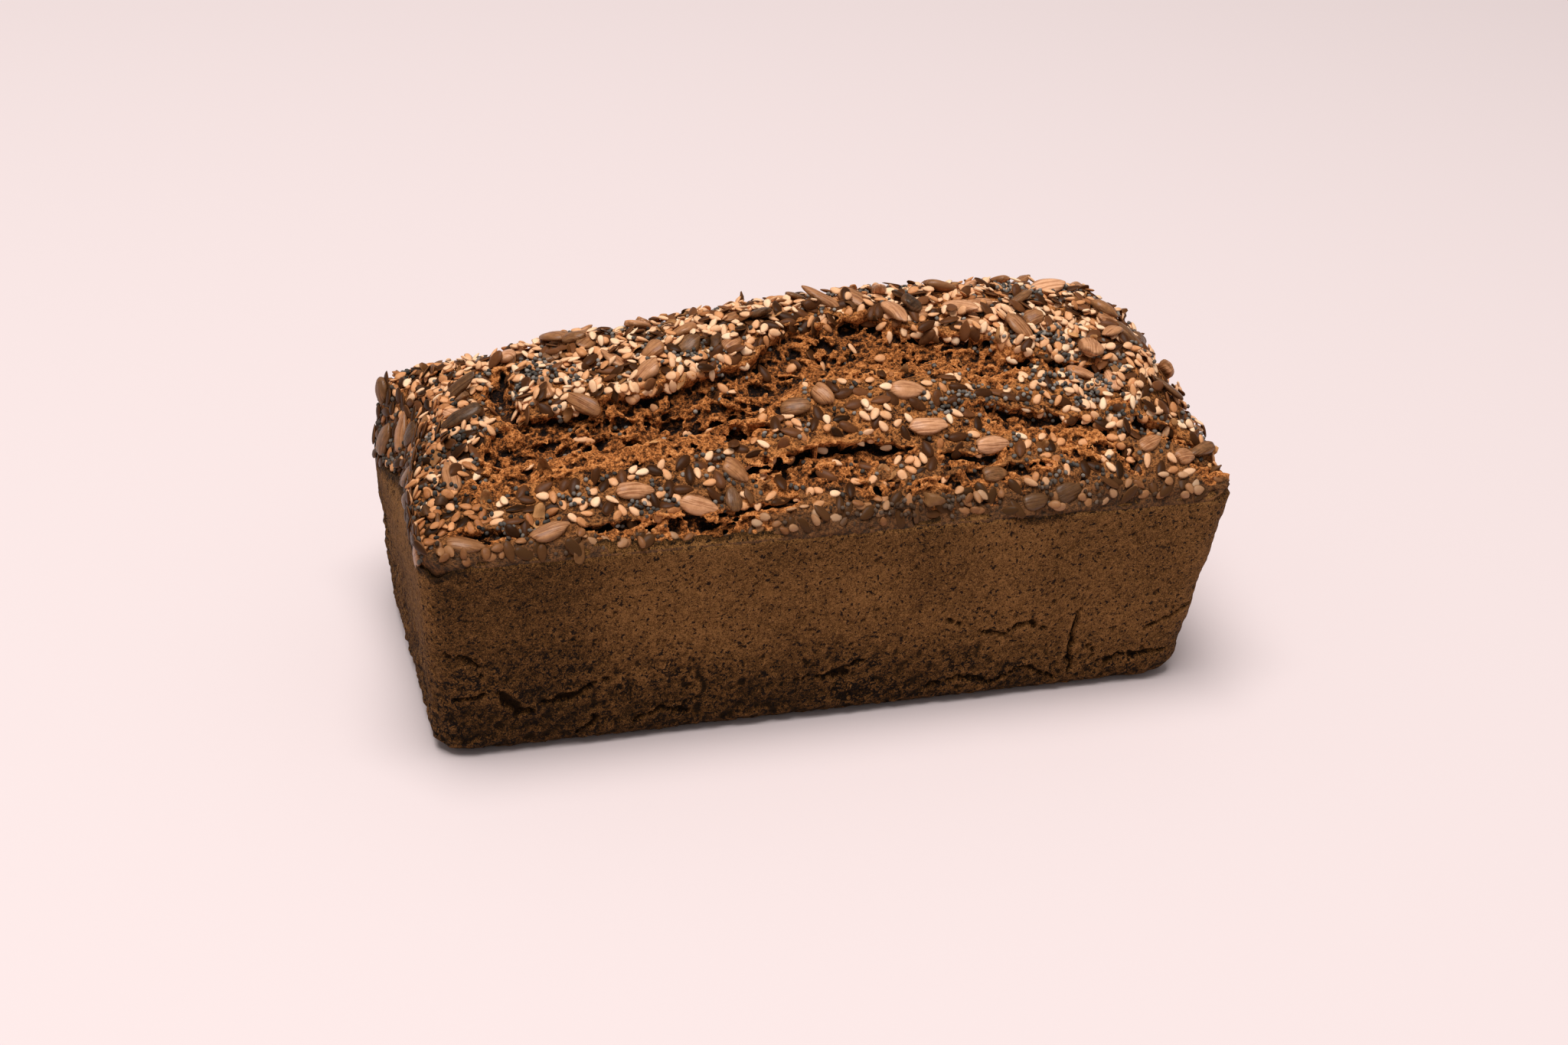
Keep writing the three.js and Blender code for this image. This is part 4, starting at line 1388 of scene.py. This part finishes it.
        made = make_mesh(name, np.concatenate([points, lower, middle]), [faces, walls, fan], kept)
        flags = np.zeros(end + 1, bool)
        flags[rim_points] = True
        ends = np.zeros(len(made.data.edges) * 2, np.int32)
        made.data.edges.foreach_get("vertices", ends)
        sharp = made.data.attributes.new("sharp_edge", "BOOLEAN", "EDGE")
        sharp.data.foreach_set("value", flags[ends.reshape(-1, 2)].all(axis=1))
        made.data.materials.append(CrownBread().build())
        return made


# ---- The topping ---------------------------------------------------------------------------------

@dataclass(frozen=True)
class SeedShape:
    """A kind of seed along X: its sizes, how blunt its two ends are, and how finely it is made."""

    length: float
    width: float
    thickness: float
    blunt: float
    pointed: float
    along: int
    around: int
    flat_edge: float = 1.0
    uneven: float = 0.0
    spread: float = 0.12
    curl: float = 0.0

    def unit(self) -> tuple[Array, tuple[Array, Array], dict[str, Array]]:
        """One seed of unit half-sizes.

        Ring i lies at s = -cos(angle) along X. Its half-width is (1 + s)^blunt (1 - s)^pointed, over the
        largest of these, and its section is an ellipse drawn out to a thinner edge by the power
        flat_edge. The ends are single points.

        Returns:
            Points, the four-sided faces and the triangles at the ends, and marks.
        """
        angle = np.linspace(0.0, np.pi, self.along + 1)[1:-1, None]
        turn = np.linspace(0.0, 2.0 * np.pi, self.around, endpoint=False)[None, :]
        s = -np.cos(angle)
        widest = (self.blunt - self.pointed) / (self.blunt + self.pointed)
        half = (1.0 + s) ** self.blunt * (1.0 - s) ** self.pointed
        half = half / ((1.0 + widest) ** self.blunt * (1.0 - widest) ** self.pointed)
        side = half * np.cos(turn)
        up = half * np.sign(np.sin(turn)) * np.abs(np.sin(turn)) ** self.flat_edge
        rings = np.stack([s + 0.0 * side, side, up], axis=-1)
        points = np.concatenate([[[-1.0, 0.0, 0.0]], rings.reshape(-1, 3), [[1.0, 0.0, 0.0]]])
        quads = tube_faces(self.along - 1, self.around, 1)
        first = 1 + np.arange(self.around)
        last = first + (self.along - 2) * self.around
        ends = len(points) - 1
        low = np.stack([0 * first, np.roll(first, -1), first], axis=-1)
        high = np.stack([0 * last + ends, last, np.roll(last, -1)], axis=-1)
        marks = {
            "along": (points[:, 0] + 1.0) / 2.0,
            "around": points[:, 1],
            "edge": np.concatenate([[1.0], (np.abs(np.cos(turn)) + 0.0 * s).ravel(), [1.0]]),
        }
        return points, (quads, np.concatenate([low, high])), marks


SEED_SHAPES = {
    Seed.KERNEL: SeedShape(8.7, 4.9, 2.5, 0.38, 0.60, 14, 16, 0.9, 0.16, 0.16),
    Seed.FLAX: SeedShape(5.0, 2.65, 1.0, 0.54, 0.74, 8, 8, 1.3, 0.05, 0.09),
    Seed.SESAME: SeedShape(3.2, 2.15, 0.85, 0.46, 0.68, 6, 6, 1.0, 0.06, 0.11),
    Seed.POPPY: SeedShape(1.25, 1.1, 1.0, 0.50, 0.50, 4, 6, 1.0, 0.0, 0.10),
    Seed.BRAN: SeedShape(4.0, 2.3, 0.35, 0.40, 0.45, 8, 10, 1.0, 0.45, 0.30, 1.1),
}


@dataclass(frozen=True)
class Laid:
    """One seed where it lies: its kind, place on its bed, turn, tilts, sizes and tint."""

    kind: Seed
    a: float
    b: float
    turn: float
    size: tuple[float, float, float]
    lift: float
    tilt: tuple[float, float]
    tint: float


@dataclass
class SeedBed:
    """A patch of the loaf on which seeds are dropped one by one, so that they lie on those before them.

    A fine grid over the patch holds how high the seeds reach above the bread. A dropped seed comes to
    rest on the heights under it and leans as they do.
    """

    low: tuple[float, float]
    high: tuple[float, float]
    cell: float = 0.3
    # Whether seeds sink in the glaze and get painted shade at the front lip.
    glazed_and_shaded: bool = False
    heights: Array = field(init=False, default_factory=lambda: np.zeros(0))
    laid: list[Laid] = field(init=False, default_factory=list)

    def __post_init__(self) -> None:
        """Clears the heights."""
        counts = [int((top - bottom) / self.cell) + 1 for bottom, top in zip(self.low, self.high)]
        self.heights = np.zeros(counts)

    def drop(self, kind: Seed, a: float, b: float, turn: float, size: tuple[float, float, float], tint: float,
             most: float, tilt: tuple[float, float] = (0.0, 0.0)) -> bool:
        """Drops one seed if the heap under it isn't too high.

        Args:
            kind: the kind of seed.
            a: first place on the patch.
            b: second place on the patch.
            turn: turn of the seed in the patch, in radians.
            size: length, width and thickness.
            tint: where its colour lies in its range.
            most: the highest that the heap under it may be.
            tilt: extra lean along and across the seed, in radians.

        Returns:
            Whether the seed was laid.
        """
        reach = size[0] / 2
        row = [int((value - bottom) / self.cell) for value, bottom in zip((a, b), self.low)]
        span = int(reach / self.cell) + 1
        rows = slice(max(row[0] - span, 0), row[0] + span + 1)
        columns = slice(max(row[1] - span, 0), row[1] + span + 1)
        heap = self.heights[rows, columns]
        if heap.size == 0:
            return False
        grid_a = (np.arange(rows.start, rows.start + heap.shape[0]) * self.cell + self.low[0] - a)[:, None]
        grid_b = (np.arange(columns.start, columns.start + heap.shape[1]) * self.cell + self.low[1] - b)[None]
        along = (grid_a * math.cos(turn) + grid_b * math.sin(turn)) / reach
        across = (grid_b * math.cos(turn) - grid_a * math.sin(turn)) / (size[1] / 2)
        under = along ** 2 + across ** 2
        inside = under < 0.8
        if not inside.any():
            return False
        seat = float(np.mean(np.sort(heap[inside])[-max(1, inside.sum() // 3):]))
        if seat > most:
            return False
        lean_along = float(np.mean(heap[inside] * along[inside])) / reach * 3.0 + tilt[0]
        lean_across = float(np.mean(heap[inside] * across[inside])) / (size[1] / 2) * 3.0 + tilt[1]
        dome = np.sqrt(np.clip(1.0 - under, 0.0, None)) * size[2] * 0.85
        self.heights[rows, columns] = np.where(inside, np.maximum(heap, seat * 0.9 + dome), heap)
        tilts = (float(np.clip(lean_along, -0.6, 0.6)), float(np.clip(lean_across, -0.6, 0.6)))
        self.laid.append(Laid(kind, a, b, turn, size, seat * 0.9 + size[2] * 0.22, tilts, tint))
        return True


@dataclass(frozen=True)
class Sowing:
    """One turn of scattering: a kind, how many tries, how high it may heap and its share at the front."""

    kind: Seed
    tries: int
    most: float
    thin: float = 1.0


@dataclass
class Topping:
    """All the seeds: kernels listed one by one where they lie clear, the rest scattered by rule."""

    form: LoafForm
    crown: Crown
    seed: int = 17
    crown_plan: tuple[Sowing, ...] = (
        Sowing(Seed.FLAX, 1300, 0.6, 0.95), Sowing(Seed.SESAME, 5200, 0.6, 0.9),
        Sowing(Seed.KERNEL, 150, 1.0, 0.0), Sowing(Seed.POPPY, 20000, 0.5, 0.85),
        Sowing(Seed.BRAN, 160, 1.0, 0.3), Sowing(Seed.SESAME, 1500, 1.9, 0.15),
        Sowing(Seed.FLAX, 520, 2.4, 0.12), Sowing(Seed.KERNEL, 100, 2.2, 0.0),
        Sowing(Seed.SESAME, 1100, 2.6, 0.0), Sowing(Seed.BRAN, 120, 2.6, 0.2),
        Sowing(Seed.POPPY, 7000, 1.7, 0.4),
    )
    end_plan: tuple[Sowing, ...] = (
        Sowing(Seed.FLAX, 200, 0.4), Sowing(Seed.KERNEL, 22, 0.8), Sowing(Seed.SESAME, 350, 0.6),
        Sowing(Seed.FLAX, 260, 1.1), Sowing(Seed.POPPY, 1500, 0.8), Sowing(Seed.BRAN, 30, 1.0),
    )
    # where the poppy seeds gathered: x, y and the reach along each
    poppy_fields: tuple[tuple[float, float, float, float], ...] = (
        (-66.0, 8.0, 6.0, 9.0), (-86.0, -1.0, 6.0, 9.0), (40.0, -23.0, 13.0, 4.0), (68.0, -18.0, 14.0, 8.0),
        (62.0, -6.0, 10.0, 5.0), (80.0, -29.0, 8.0, 4.0), (-80.0, -39.0, 9.0, 3.0), (-44.0, -37.5, 8.0, 3.0),
        (60.0, -42.0, 12.0, 3.0), (20.0, -43.5, 20.0, 1.5), (-28.0, 2.0, 5.0, 3.0), (30.0, 24.0, 6.0, 4.0),
        (66.0, 14.0, 8.0, 5.0), (-50.0, 30.0, 7.0, 4.0), (-64.0, -33.0, 5.0, 3.0),
    )
    kernels: tuple[tuple[float, ...], ...] = (
        # x, y, turn in degrees, length, width, tint
        (-90.8, -20.5, 90, 11, 4.6, 0.55), (-90.5, -41.5, -15, 9, 5, 0.5), (-71, -41, 10, 9.5, 4.6, 0.6),
        (-49.6, -34.2, 0, 9.5, 4.6, 0.68), (-35.5, -39.5, -20, 9, 5, 0.72), (-63.7, 1.5, 90, 10, 4, 0.6),
        (-91, 11, 90, 11, 4, 0.45), (-58, 17, 20, 9.5, 5, 0.3), (-25, -33, -40, 7.5, 5.2, 0.5),
        (-27, -38.8, 90, 6.5, 4, 0.25), (-6.5, -19.8, -10, 7.5, 5.2, 0.35), (0.6, -18.4, -60, 7, 5, 0.55),
        (22, -19.2, -10, 9, 5.5, 0.72), (25.3, -28.2, 0, 10, 4.8, 0.82), (40.7, -32.8, 0, 10, 4.6, 0.84),
        (-16.7, 4, 30, 6.5, 5, 0.6), (-25, 14, 15, 8.5, 4.8, 0.5), (-12.5, 14.5, 30, 9, 4.6, 0.45),
        (-2, 15, 80, 8, 4.4, 0.6), (34.5, 7, 10, 8, 5, 0.6), (50, 7, 25, 9, 5.6, 0.7), (45, -1, 0, 7, 4, 0.6),
        (70, -17.3, -30, 8, 4.4, 0.7), (77, -19.8, 85, 8, 4.2, 0.85), (83, -35, 25, 8, 4.2, 0.6),
        (90.5, -37, 15, 7.5, 4.6, 0.6), (83.5, 1, 0, 7.5, 4.6, 0.6), (58, -43.3, 20, 8, 5, 0.2),
        (49, -44.2, 5, 6.5, 4.4, 0.22), (40, -38.5, 10, 7, 4.2, 0.3),
    )
    flakes: tuple[tuple[float, ...], ...] = (
        # x, y, turn in degrees, length, width, tint, lean
        (-70.5, -26.0, 35, 9.0, 5.0, 0.55, 0.5), (-73.0, -37.0, 80, 6.5, 3.6, 0.8, 0.4),
        (97.5, -34.0, 70, 6.0, 3.6, 0.95, 0.6), (97.4, -41.0, 100, 6.5, 3.6, 0.4, 0.6),
        (-19.0, -35.5, -60, 6.0, 2.2, 0.6, 0.5),
        (13.0, -36.5, -50, 5.0, 3.0, 0.7, 0.4), (74.0, -9.0, 20, 5.5, 3.4, 0.75, 0.4),
        (-84.0, -31.0, 100, 6.0, 3.4, 0.7, 0.5), (52.0, -34.5, 15, 6.0, 3.4, 0.5, 0.4),
    )

    def seedless(self, x: float, y: float) -> float:
        """How torn the crown is at (x, y), read from the crown's own grid."""
        row = int(np.clip(np.searchsorted(self.crown.line_x, x), 0, len(self.crown.line_x) - 1))
        column = int(np.clip(np.searchsorted(self.crown.line_y, y), 0, len(self.crown.line_y) - 1))
        return float(self.crown.torn[row, column])

    def cover(self, x: float, y: float) -> float:
        """How thick the topping lies at (x, y): 1 on the back and the ends, less on the front."""
        across = float(self.form.tear_share(np.array(x), np.array(y)))
        back = float(ease(-22.0, -8.0, y))
        if -85.0 < x < 61.0 and across < 0.0:
            back = 0.0
        ends = float(ease(58.0, 70.0, x)) * 0.75 * float(ease(-44.0, -26.0, y))
        left = float(ease(84.0, 90.0, -x)) * 0.8
        rim = float(ease(-41.0, -43.0, y)) * 0.5
        return min(1.0, max(back, ends, left, rim))

    def poppy_field(self, x: float, y: float) -> float:
        """How thick the poppy seeds lie at (x, y): up to 1 inside the fields where they gathered."""
        spots = (((x - px) / rx) ** 2 + ((y - py) / ry) ** 2 for px, py, rx, ry in self.poppy_fields)
        return float(ease(1.4, 0.5, min(spots)))

    def chance(self, sowing: Sowing, x: float, y: float, cover: float, patch: float) -> float:
        """The chance that a seed scattered at (x, y) stays there.

        Args:
            sowing: the turn of scattering.
            x: place along the loaf.
            y: place across it.
            cover: how thick the topping lies there.
            patch: patchy noise there, from 0 to 1.

        Returns:
            The chance, from 0 to 1.
        """
        keep = sowing.thin + (1.0 - sowing.thin) * cover
        if sowing.kind is Seed.POPPY:
            keep *= max(0.12 + 0.9 * float(ease(0.5, 0.8, patch)), self.poppy_field(x, y))
        if sowing.kind is Seed.KERNEL:
            keep *= (1.0 - 0.6 * float(ease(76.0, 84.0, -x))) * (y > -37.0)
        if self.seedless(x, y) > 0.35:
            keep *= 0.03
        return keep

    def fill_crown(self) -> SeedBed:
        """Drops the seeds on the crown, the kinds in turns, so that some lie over others.

        Returns:
            The bed with its seeds, its places being x and y.
        """
        random = np.random.default_rng(self.seed)
        half_x, half_y = self.form.rim_length / 2, self.form.rim_width / 2
        bed = SeedBed((-half_x, -half_y), (half_x, half_y), glazed_and_shaded=True)
        for x, y, turn, length, width, tint in self.kernels:
            size = (length, width, SEED_SHAPES[Seed.KERNEL].thickness * width / 4.9)
            bed.drop(Seed.KERNEL, x, y, math.radians(turn), size, tint, 9.0)
        for x, y, turn, length, width, tint, lean in self.flakes:
            bed.drop(Seed.BRAN, x, y, math.radians(turn), (length, width, 0.45), tint, 9.0, (lean, 0.2))
        clumps = random.integers(0, 1 << 30)
        for sowing in self.crown_plan:
            kind, count = sowing.kind, sowing.tries
            shape = SEED_SHAPES[kind]
            spots = random.uniform((-half_x + 1.2, -half_y + 0.8), (half_x - 1.2, half_y - 0.8), (count, 2))
            patchy = 0.5 + 0.5 * value_noise(np.pad(spots, ((0, 0), (0, 1))), 7.0, int(clumps) % 997)
            luck = random.random(count)
            scale = 1.0 + shape.spread * np.clip(random.standard_normal((count, 3)), -2.0, 2.0)
            turns = random.uniform(0.0, 2.0 * math.pi, count)
            tilts = np.clip(random.normal(0.0, 0.22, (count, 2)), -0.42, 0.42)
            # Seeds darker towards the left end and towards the front: painted shade.
            seed_shade = 0.30 * ease(-78.0, -90.0, spots[:, 0]) + 0.12 * ease(-34.0, -42.0, spots[:, 1])
            seed_shade = seed_shade + 0.13 * ease(-27.0, -34.0, spots[:, 1])
            middle = 0.48 if kind is Seed.KERNEL else 0.62
            tints = np.clip(random.normal(middle, 0.25, count) - seed_shade, 0.02, 0.98)
            for number in range(count):
                x, y = (float(value) for value in spots[number])
                cover = self.cover(x, y)
                keep = self.chance(sowing, x, y, cover, float(patchy[number]))
                corner = math.hypot(max(0.0, abs(x) - half_x + 7.0), max(0.0, abs(y) - half_y + 7.0))
                if luck[number] > keep or corner > 6.2:
                    continue
                size = (shape.length * scale[number, 0], shape.width * scale[number, 1],
                        shape.thickness * scale[number, 2])
                limit = sowing.most * (0.42 + 0.58 * cover)
                if kind is Seed.POPPY:
                    limit += 0.35 * self.poppy_field(x, y)
                bed.drop(kind, x, y, float(turns[number]), size, float(tints[number]), limit,
                         tuple(tilts[number] * (0.4 + cover)))
        return bed

    def fill_end(self) -> SeedBed:
        """Drops the seeds on the slumped left end, whose places are y and the height.

        Returns:
            The bed with its seeds.
        """
        random = np.random.default_rng(self.seed + 1)
        bed = SeedBed((-46.0, 38.0), (46.0, 70.0))
        for sowing in self.end_plan:
            kind, count = sowing.kind, sowing.tries
            shape = SEED_SHAPES[kind]
            spots = random.uniform((-42.0, 40.0), (41.0, 64.0), (count, 2))
            scale = 1.0 + shape.spread * np.clip(random.standard_normal((count, 3)), -2.0, 2.0)
            turns = random.uniform(0.0, 2.0 * math.pi, count)
            # The end's seeds are darker than the crown's: painted shade.
            tints = np.clip(random.normal(0.36, 0.20, count), 0.02, 0.98)
            floor = self.crown.walls.crust_top(np.full(count, -99.0), spots[:, 0])
            for number in range(count):
                y, z = (float(value) for value in spots[number])
                if z < floor[number] + 0.6:
                    continue
                size = tuple(np.array((shape.length, shape.width, shape.thickness)) * scale[number])
                bed.drop(kind, y, z, float(turns[number]), size, float(tints[number]), sowing.most)
        return bed

    def on_crown(self, a: Array, b: Array) -> tuple[Array, Array]:
        """Places and outward directions on the crown at x and y, from its own evened-out grid."""
        even = blur(self.crown.surface, 2)
        ahead_x = np.gradient(blur(self.crown.surface, 5), axis=0)
        ahead_y = np.gradient(blur(self.crown.surface, 5), axis=1)
        up = np.cross(ahead_x, ahead_y)
        up /= np.linalg.norm(up, axis=-1, keepdims=True)
        row = np.interp(a, self.crown.line_x, np.arange(len(self.crown.line_x)))
        column = np.interp(b, self.crown.line_y, np.arange(len(self.crown.line_y)))
        row, column = np.rint(row).astype(int), np.rint(column).astype(int)
        places = even[row, column].copy()
        return places, up[row, column]

    def on_end(self, a: Array, b: Array) -> tuple[Array, Array]:
        """Places and outward directions on the slumped left end at y and the height."""
        def place(y: Array, z: Array) -> Array:
            """Places on the end wall at y and the height z."""
            lean = self.form.end_taper * np.clip(1.0 - z / self.form.rim_height, 0.0, 1.0)
            beyond = np.maximum(0.0, np.abs(y) - (self.form.rim_width / 2 - self.form.corner_radius))
            round_in = self.form.corner_radius - np.sqrt(self.form.corner_radius ** 2 - beyond ** 2)
            wall = np.stack([-100.0 + lean + 0.3 + round_in, y, z], axis=-1)
            return self.form.settled(self.form.slumped(wall))

        middle = place(a, b)
        along = place(a + 0.5, b) - place(a - 0.5, b)
        rise = place(a, b + 0.5) - place(a, b - 0.5)
        out = np.cross(rise, along)
        return middle, out / np.linalg.norm(out, axis=-1, keepdims=True)

    def set_seeds(self, kind: Seed, beds: Sequence[tuple[SeedBed, Callable, Array]]) -> bpy.types.Object:
        """Makes one mesh of all the seeds of a kind.

        Args:
            kind: the kind of seed.
            beds: each bed, its function from places to points and directions, and the direction in
                which its first place grows.

        Returns:
            The piece.
        """
        shape = SEED_SHAPES[kind]
        unit, (quads, ends), marks = shape.unit()
        points, tints, films_and_shades = [], [], []
        for bed, locate, first in beds:
            laid = [seed for seed in bed.laid if seed.kind is kind]
            if not laid:
                continue
            a, b, turn, lift, tint = (np.array([getattr(seed, key) for seed in laid])
                                      for key in ("a", "b", "turn", "lift", "tint"))
            size = np.array([seed.size for seed in laid]) / 2.0
            tilt = np.array([seed.tilt for seed in laid])
            middle, up = locate(a, b)
            # Sinks seeds into the glaze at the front lip; it also darkens them and the left end's seeds as
            # painted shade.
            film_and_shade = ease(-39.5, -43.5, b) if bed.glazed_and_shaded else np.full(len(laid), 0.25)
            lift = lift - 0.7 * size[:, 2] * film_and_shade - (0.0 if bed.glazed_and_shaded else 0.45)
            flat_a = first - up * np.sum(up * first, axis=-1, keepdims=True)
            flat_a /= np.linalg.norm(flat_a, axis=-1, keepdims=True)
            flat_b = np.cross(up, flat_a)
            ahead = flat_a * np.cos(turn)[:, None] + flat_b * np.sin(turn)[:, None]
            side = np.cross(up, ahead)
            ahead = ahead + up * np.tan(tilt[:, :1])
            side = side + up * np.tan(tilt[:, 1:])
            ahead /= np.linalg.norm(ahead, axis=-1, keepdims=True)
            side -= ahead * np.sum(side * ahead, axis=-1, keepdims=True)
            side /= np.linalg.norm(side, axis=-1, keepdims=True)
            top = np.cross(ahead, side)
            body = unit[None] * size[:, None, :]
            if shape.uneven > 0.0:
                seeds = np.arange(len(laid))[:, None] * np.array((31.7, 17.3, 11.9))
                lumps = value_noise(unit[None] * 1.6 + seeds[:, None, :], 1.0, 201)
                body *= 1.0 + shape.uneven * lumps[..., None]
            body[..., 2] += shape.curl * size[:, None, 1] * (unit[None, :, 0] ** 2 - 0.35) * tilt[:, :1] * 3.0
            placed = (middle + up * lift[:, None])[:, None, :] + body[..., :1] * ahead[:, None] \
                + body[..., 1:2] * side[:, None] + body[..., 2:] * top[:, None]
            points.append(placed.reshape(-1, 3))
            tints.append(np.repeat(tint, len(unit)))
            films_and_shades.append(np.repeat(film_and_shade, len(unit)))
        count = sum(len(part) for part in points) // len(unit)
        starts = (np.arange(count) * len(unit))[:, None, None]
        faces = [(quads[None] + starts).reshape(-1, 4), (ends[None] + starts).reshape(-1, 3)]
        all_marks = {key: np.tile(values, count) for key, values in marks.items()}
        all_marks["tint"] = np.concatenate(tints)
        all_marks["film_and_shade"] = np.concatenate(films_and_shades)
        made = make_mesh(kind.value, np.concatenate(points), faces, all_marks)
        made.data.materials.append(SEED_COATS[kind].build())
        LOG.info("%s: %d seeds", kind.value, count)
        return made

    def build(self) -> list[bpy.types.Object]:
        """Builds one piece for each kind of seed."""
        beds = ((self.fill_crown(), self.on_crown, np.array((1.0, 0.0, 0.0))),
                (self.fill_end(), self.on_end, np.array((0.0, 1.0, 0.0))))
        return [self.set_seeds(kind, beds) for kind in Seed]


# ---- The studio ----------------------------------------------------------------------------------

@dataclass(frozen=True)
class Studio:
    """The camera, the soft light, the pale surroundings and the pale floor."""

    image_width: float = 2048.0
    focal_pixels: float = 3000.0
    sensor: float = 36.0
    azimuth: float = -18.91
    elevation: float = 30.25
    roll: float = 4.69
    distance: float = 605.3
    target: tuple[float, float, float] = (1.95, 7.03, 30.0)
    floor_colour: Colour = (0.82, 0.702, 0.698)
    floor_reach: float = 6000.0
    light_place: tuple[float, float, float] = (-0.30, -0.24, 2.20)  # metres
    light_size: float = 1.3  # metres
    light_power: float = 51.5  # watts
    light_colour: Colour = (1.0, 0.985, 0.975)
    world_colour: Colour = (1.0, 0.97, 0.96)
    world_strength: float = 0.27

    def add_camera(self) -> None:
        """Adds the camera, aimed at the target and rolled about its axis."""
        scene = bpy.context.scene
        data = bpy.data.cameras.new("camera")
        data.sensor_width = self.sensor
        data.lens = self.sensor * self.focal_pixels / self.image_width
        data.clip_end = 20.0
        camera = bpy.data.objects.new("camera", data)
        scene.collection.objects.link(camera)
        turn, rise, roll = (math.radians(angle) for angle in (self.azimuth, self.elevation, self.roll))
        back = Vector((math.sin(turn) * math.cos(rise), -math.cos(turn) * math.cos(rise), math.sin(rise)))
        right = Vector((math.cos(turn), math.sin(turn), 0.0))
        up = back.cross(right)
        right, up = right * math.cos(roll) + up * math.sin(roll), up * math.cos(roll) - right * math.sin(roll)
        place = Matrix((right, up, back)).transposed().to_4x4()
        place.translation = (Vector(self.target) + back * self.distance) * MM
        camera.matrix_world = place
        scene.camera = camera

    def add_light(self) -> None:
        """Adds the square soft light, which looks at the loaf."""
        data = bpy.data.lights.new("key", "AREA")
        data.size, data.energy, data.color = self.light_size, self.light_power, self.light_colour
        light = bpy.data.objects.new("key", data)
        light.location = self.light_place
        light.rotation_mode = "QUATERNION"
        away = Vector(self.light_place) - Vector((0.0, 0.0, 0.05))
        light.rotation_quaternion = away.to_track_quat("Z", "Y")
        bpy.context.scene.collection.objects.link(light)

    def add_floor(self) -> bpy.types.Object:
        """Adds the floor: one large square, matt and pale."""
        corners = self.floor_reach * np.array(((-1, -1, 0), (1, -1, 0), (1, 1, 0), (-1, 1, 0)), float)
        floor = make_mesh("floor", corners, [np.arange(4)[None]], smooth=False)
        shader = Shader("pale_floor")
        floor.data.materials.append(shader.finish(Base_Color=self.floor_colour, Roughness=0.9,
                                                  Specular_IOR_Level=0.1))
        return floor

    def build(self) -> None:
        """Sets the stage."""
        self.add_camera()
        self.add_floor()
        self.add_light()
        world = bpy.data.worlds.new("soft_light")
        world.use_nodes = True
        background = world.node_tree.nodes["Background"]
        background.inputs["Color"].default_value = (*self.world_colour, 1.0)
        background.inputs["Strength"].default_value = self.world_strength
        bpy.context.scene.world = world
        bpy.context.scene.view_settings.view_transform = "Standard"


def main() -> None:
    """Builds the loaf piece by piece around the frame and sets the stage."""
    logging.basicConfig(level=logging.INFO, format="%(name)s: %(message)s")
    form = LoafForm()
    walls = TinWalls(form)
    crown = Crown(form, walls)
    Studio().build()
    pieces = [walls.build(), *crown.build()]
    pieces += Topping(form, crown).build()
    for piece in pieces:
        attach(piece, "root")
        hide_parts("loaf")
        LOG.info("%s: %d faces", piece.name, len(piece.data.polygons))


if __name__ == "__main__":
    main()
